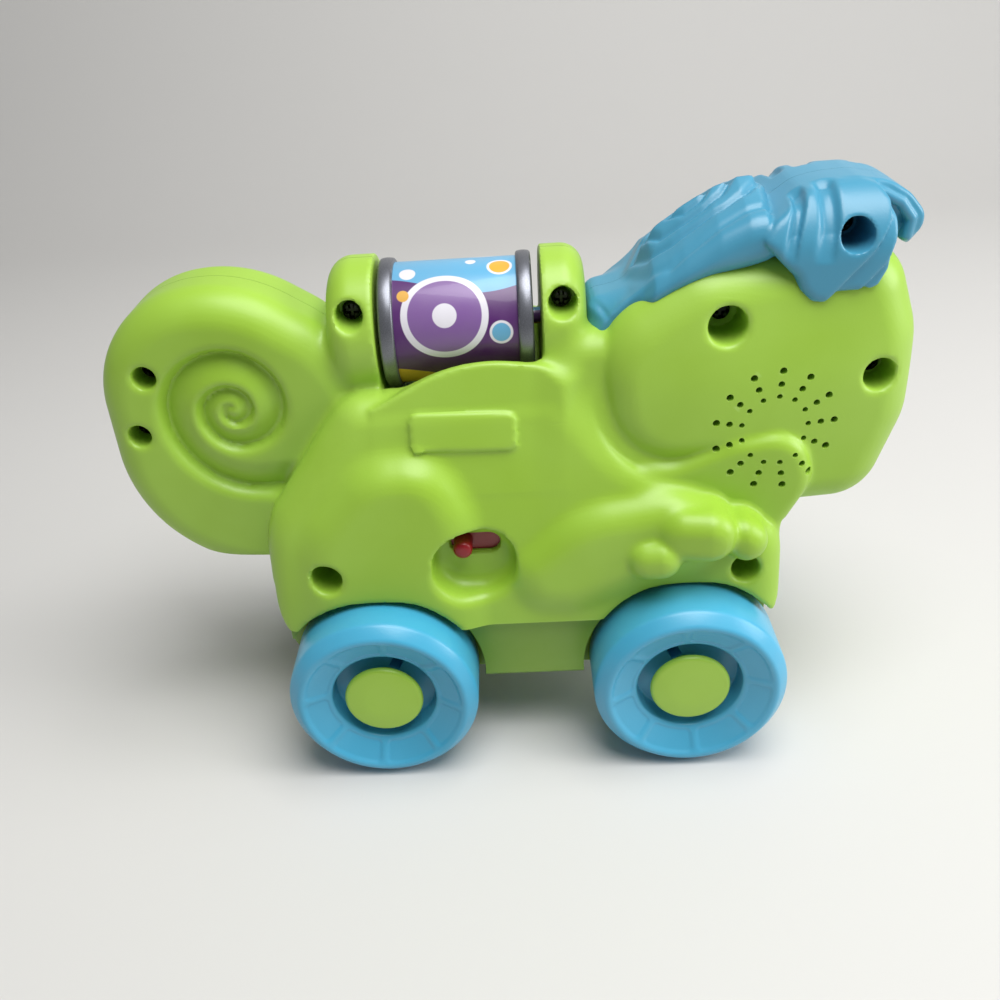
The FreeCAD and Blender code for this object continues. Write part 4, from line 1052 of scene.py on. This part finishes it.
barrel_outline = rounded([(0, barrel_start - 6, 0), (journal_radius, barrel_start - 6, 0.4),
                          (journal_radius, barrel_start + 1, 0), (barrel_radius, barrel_start + 2, 0.4),
                          (barrel_radius, barrel_end - 2, 0.4), (journal_radius, barrel_end - 1, 0),
                          (journal_radius, barrel_end + 6, 0.4), (0, barrel_end + 6, 0)], 0.3)
barrel = new_piece("barrel", turned(barrel_outline, 192, on_drum))

# The sleeve's print: plum, sky-blue and amber bands with wavy borders, and round spots. Each spot has its
# place along the axis, its angle about it in radians, its radius, its tone and the width of its white border.
printed, tree = new_material("printed_sleeve")
split = add_node(tree, "SeparateXYZ", {0: own_place(tree)}).outputs
run = times(tree, split["X"], 1000.0)
height = math_node(tree, "SUBTRACT", split["Z"], drum_axis_z * 0.001)
turn = math_node(tree, "ARCTAN2", height, times(tree, split["Y"], -1.0))
sky, plum, lilac, amber, white = ((0.13, 0.42, 0.66, 1), (0.085, 0.012, 0.14, 1), (0.22, 0.11, 0.33, 1),
                                  (0.78, 0.42, 0.05, 1), (0.80, 0.78, 0.84, 1))


def band(tree, value, edge, blur=0.12):
    """One where a value in millimetres is over the edge."""
    return mapped(tree, value, edge - blur, edge + blur)


wave = times(tree, math_node(tree, "SINE", math_node(tree, "MULTIPLY_ADD", run, 0.11, 1.9)), 3.0)
raised = plus(tree, times(tree, turn, barrel_radius), wave)
lowered = times(tree, raised, -1.0)
color = mixed(tree, band(tree, raised, 16.5), plum, sky)
color = mixed(tree, band(tree, raised, 44.0), color, plum)
color = mixed(tree, band(tree, lowered, 11.0), color, amber)
color = mixed(tree, band(tree, lowered, 25.0), color, sky)
spots = [(-13.2, 0.43, 10.4, lilac, 1.9), (-13.2, 0.43, 3.4, white, 0.0), (-23.4, 1.22, 2.3, white, 0.0),
         (2.6, 1.30, 2.9, amber, 0.7), (-5.6, 1.5, 1.5, white, 0.0), (2.4, 0.12, 2.6, sky, 0.7),
         (-24.6, 0.78, 1.7, amber, 0.0), (-20, -1.6, 9.5, lilac, 1.8), (-2, 2.4, 9.0, lilac, 1.8),
         (-20, 3.0, 3.4, amber, 0.8), (0, -2.2, 4.0, amber, 0.8)]
for middle, angle, radius, tone, border in spots:
    apart = math_node(tree, "WRAP", math_node(tree, "SUBTRACT", turn, angle), math.pi, -math.pi)
    apart = times(tree, apart, barrel_radius)
    beside = math_node(tree, "SUBTRACT", run, middle)
    away = math_node(tree, "SQRT", plus(tree, times(tree, apart, apart), times(tree, beside, beside)))
    if border:
        color = mixed(tree, band(tree, away, radius + border), white, color)
    color = mixed(tree, band(tree, away, radius), tone, color)
cloud = noise(tree, 90.0, 4.0)
dusty = mixed(tree, 0.5, color, (0.30, 0.26, 0.30, 1))
finish_material(tree, {
    "Base Color": mixed(tree, mapped(tree, cloud, 0.3, 0.7, 0.0, 0.25), color, dusty), "Coat Weight": 0.2,
    "Roughness": mapped(tree, cloud, 0.3, 0.7, 0.30, 0.42),
    "Normal": bumped(tree, noise(tree, 2600.0, 2.0), 0.2, 0.00003)})
dress(barrel, printed, "drum", "drum_wrap", "drum_barrel")

# Wheelsets: blue moulded wheels with eight shallow panels in the dished face and a keyhole slot, green hub
# caps and steel axles. The four wheels are alike, and each pair turns with its axle.
wheel_tone, cap_tone = (0.085, 0.43, 0.66, 1), (0.39, 0.64, 0.068, 1)
panel_count, panel_span, panel_depth, panel_corner = 8, (17.3, 23.7), 0.45, 1.3
panel_zone, panel_floor, panel_soft, rib_half = (16.5, 25.2), 47, 0.8, 1.0
wheel_outline = rounded([(0, 30.5, 0), (29, 30.5, 1.0), (29, 49.6, 2.6), (25.4, 53.7, 1.7), (15.9, 48.6, 0.9),
                         (15.9, 41.5, 0.6), (0, 41.5, 0)], 0.5)
face_start = int(np.argmax(wheel_outline[:, 1])) + 1
face_end = next(k for k in range(face_start, len(wheel_outline)) if wheel_outline[k][0] < 16.7)
wheel_outline = (list(wheel_outline[:face_start]) + spaced(list(wheel_outline[face_start:face_end + 1]), 0.4)
                 + list(wheel_outline[face_end + 1:]))


def panels(angle, radius, reach):
    """How deep the wheel's face is sunk at a place."""
    if not panel_zone[0] < radius < panel_zone[1] or reach < panel_floor:
        return 0
    pitch = math.tau / panel_count
    beside = abs((angle + pitch / 2) % pitch - pitch / 2) * radius - (pitch / 2 * radius - rib_half)
    beyond = max(panel_span[0] - radius, radius - panel_span[1])
    a, b = beside + panel_corner, beyond + panel_corner
    off = math.hypot(max(a, 0), max(b, 0)) + min(max(a, b), 0) - panel_corner
    share = min(1, max(0, 0.5 - off / panel_soft))
    return -panel_depth * share * share * (3 - 2 * share)


wheel_plastic = moulded_plastic("wheel_plastic", wheel_tone, rough=0.33, wear=0.35)
cap_plastic = moulded_plastic("cap_plastic", cap_tone, rough=0.36, wear=0.3)
axle_steel = metal("axle_steel", (0.50, 0.50, 0.50, 1), 0.3)
cap_outline = rounded([(0, 41.5, 0), (6.0, 41.5, 0), (6.0, 48.0, 0.4), (12, 48.4, 0.5), (12, 50.3, 1.4),
                       (6, 50.7, 20), (0, 50.7, 0)], 0.3)
slot_turns = {"rear_right": 62, "front_right": 118, "rear_left": 62, "front_left": 118}
for name, turned_by in slot_turns.items():
    axle_end, side_name = name.split("_")
    x, side = axle_places[axle_end], -1 if side_name == "right" else 1
    c, s = math.cos(math.radians(turned_by)), math.sin(math.radians(turned_by))

    def on_wheel(a, b, reach):
        """Places a form turned about this wheel's axis."""
        return x + a * c - b * s, side * reach, axle_z + a * s + b * c

    wheel = new_piece(name + "_disc", turned(wheel_outline, 256, on_wheel, panels))
    cut_away(wheel, [slab(rectangle(6.5, 17.2, -1.8, 1.8), 33, 47.0, on_wheel)])
    dress(wheel, wheel_plastic, axle_end + "_wheelset", "blue_wheel", name + "_wheel")
    cap = new_piece(name + "_cap", turned(cap_outline, 128, on_wheel))
    dress(cap, cap_plastic, axle_end + "_wheelset", "green_cap", name + "_hub_cap")
axle_radius, axle_reach = 2, 40.4
axle_outline = rounded([(0, -axle_reach, 0), (axle_radius, -axle_reach, 0.5), (axle_radius, axle_reach, 0.5),
                        (0, axle_reach, 0)], 0.2)
for name, x in axle_places.items():
    rod = new_piece(name + "_rod", turned(axle_outline, 48, crosswise(x, axle_z)))
    dress(rod, axle_steel, name + "_wheelset", "nickel_plate", name + "_axle")
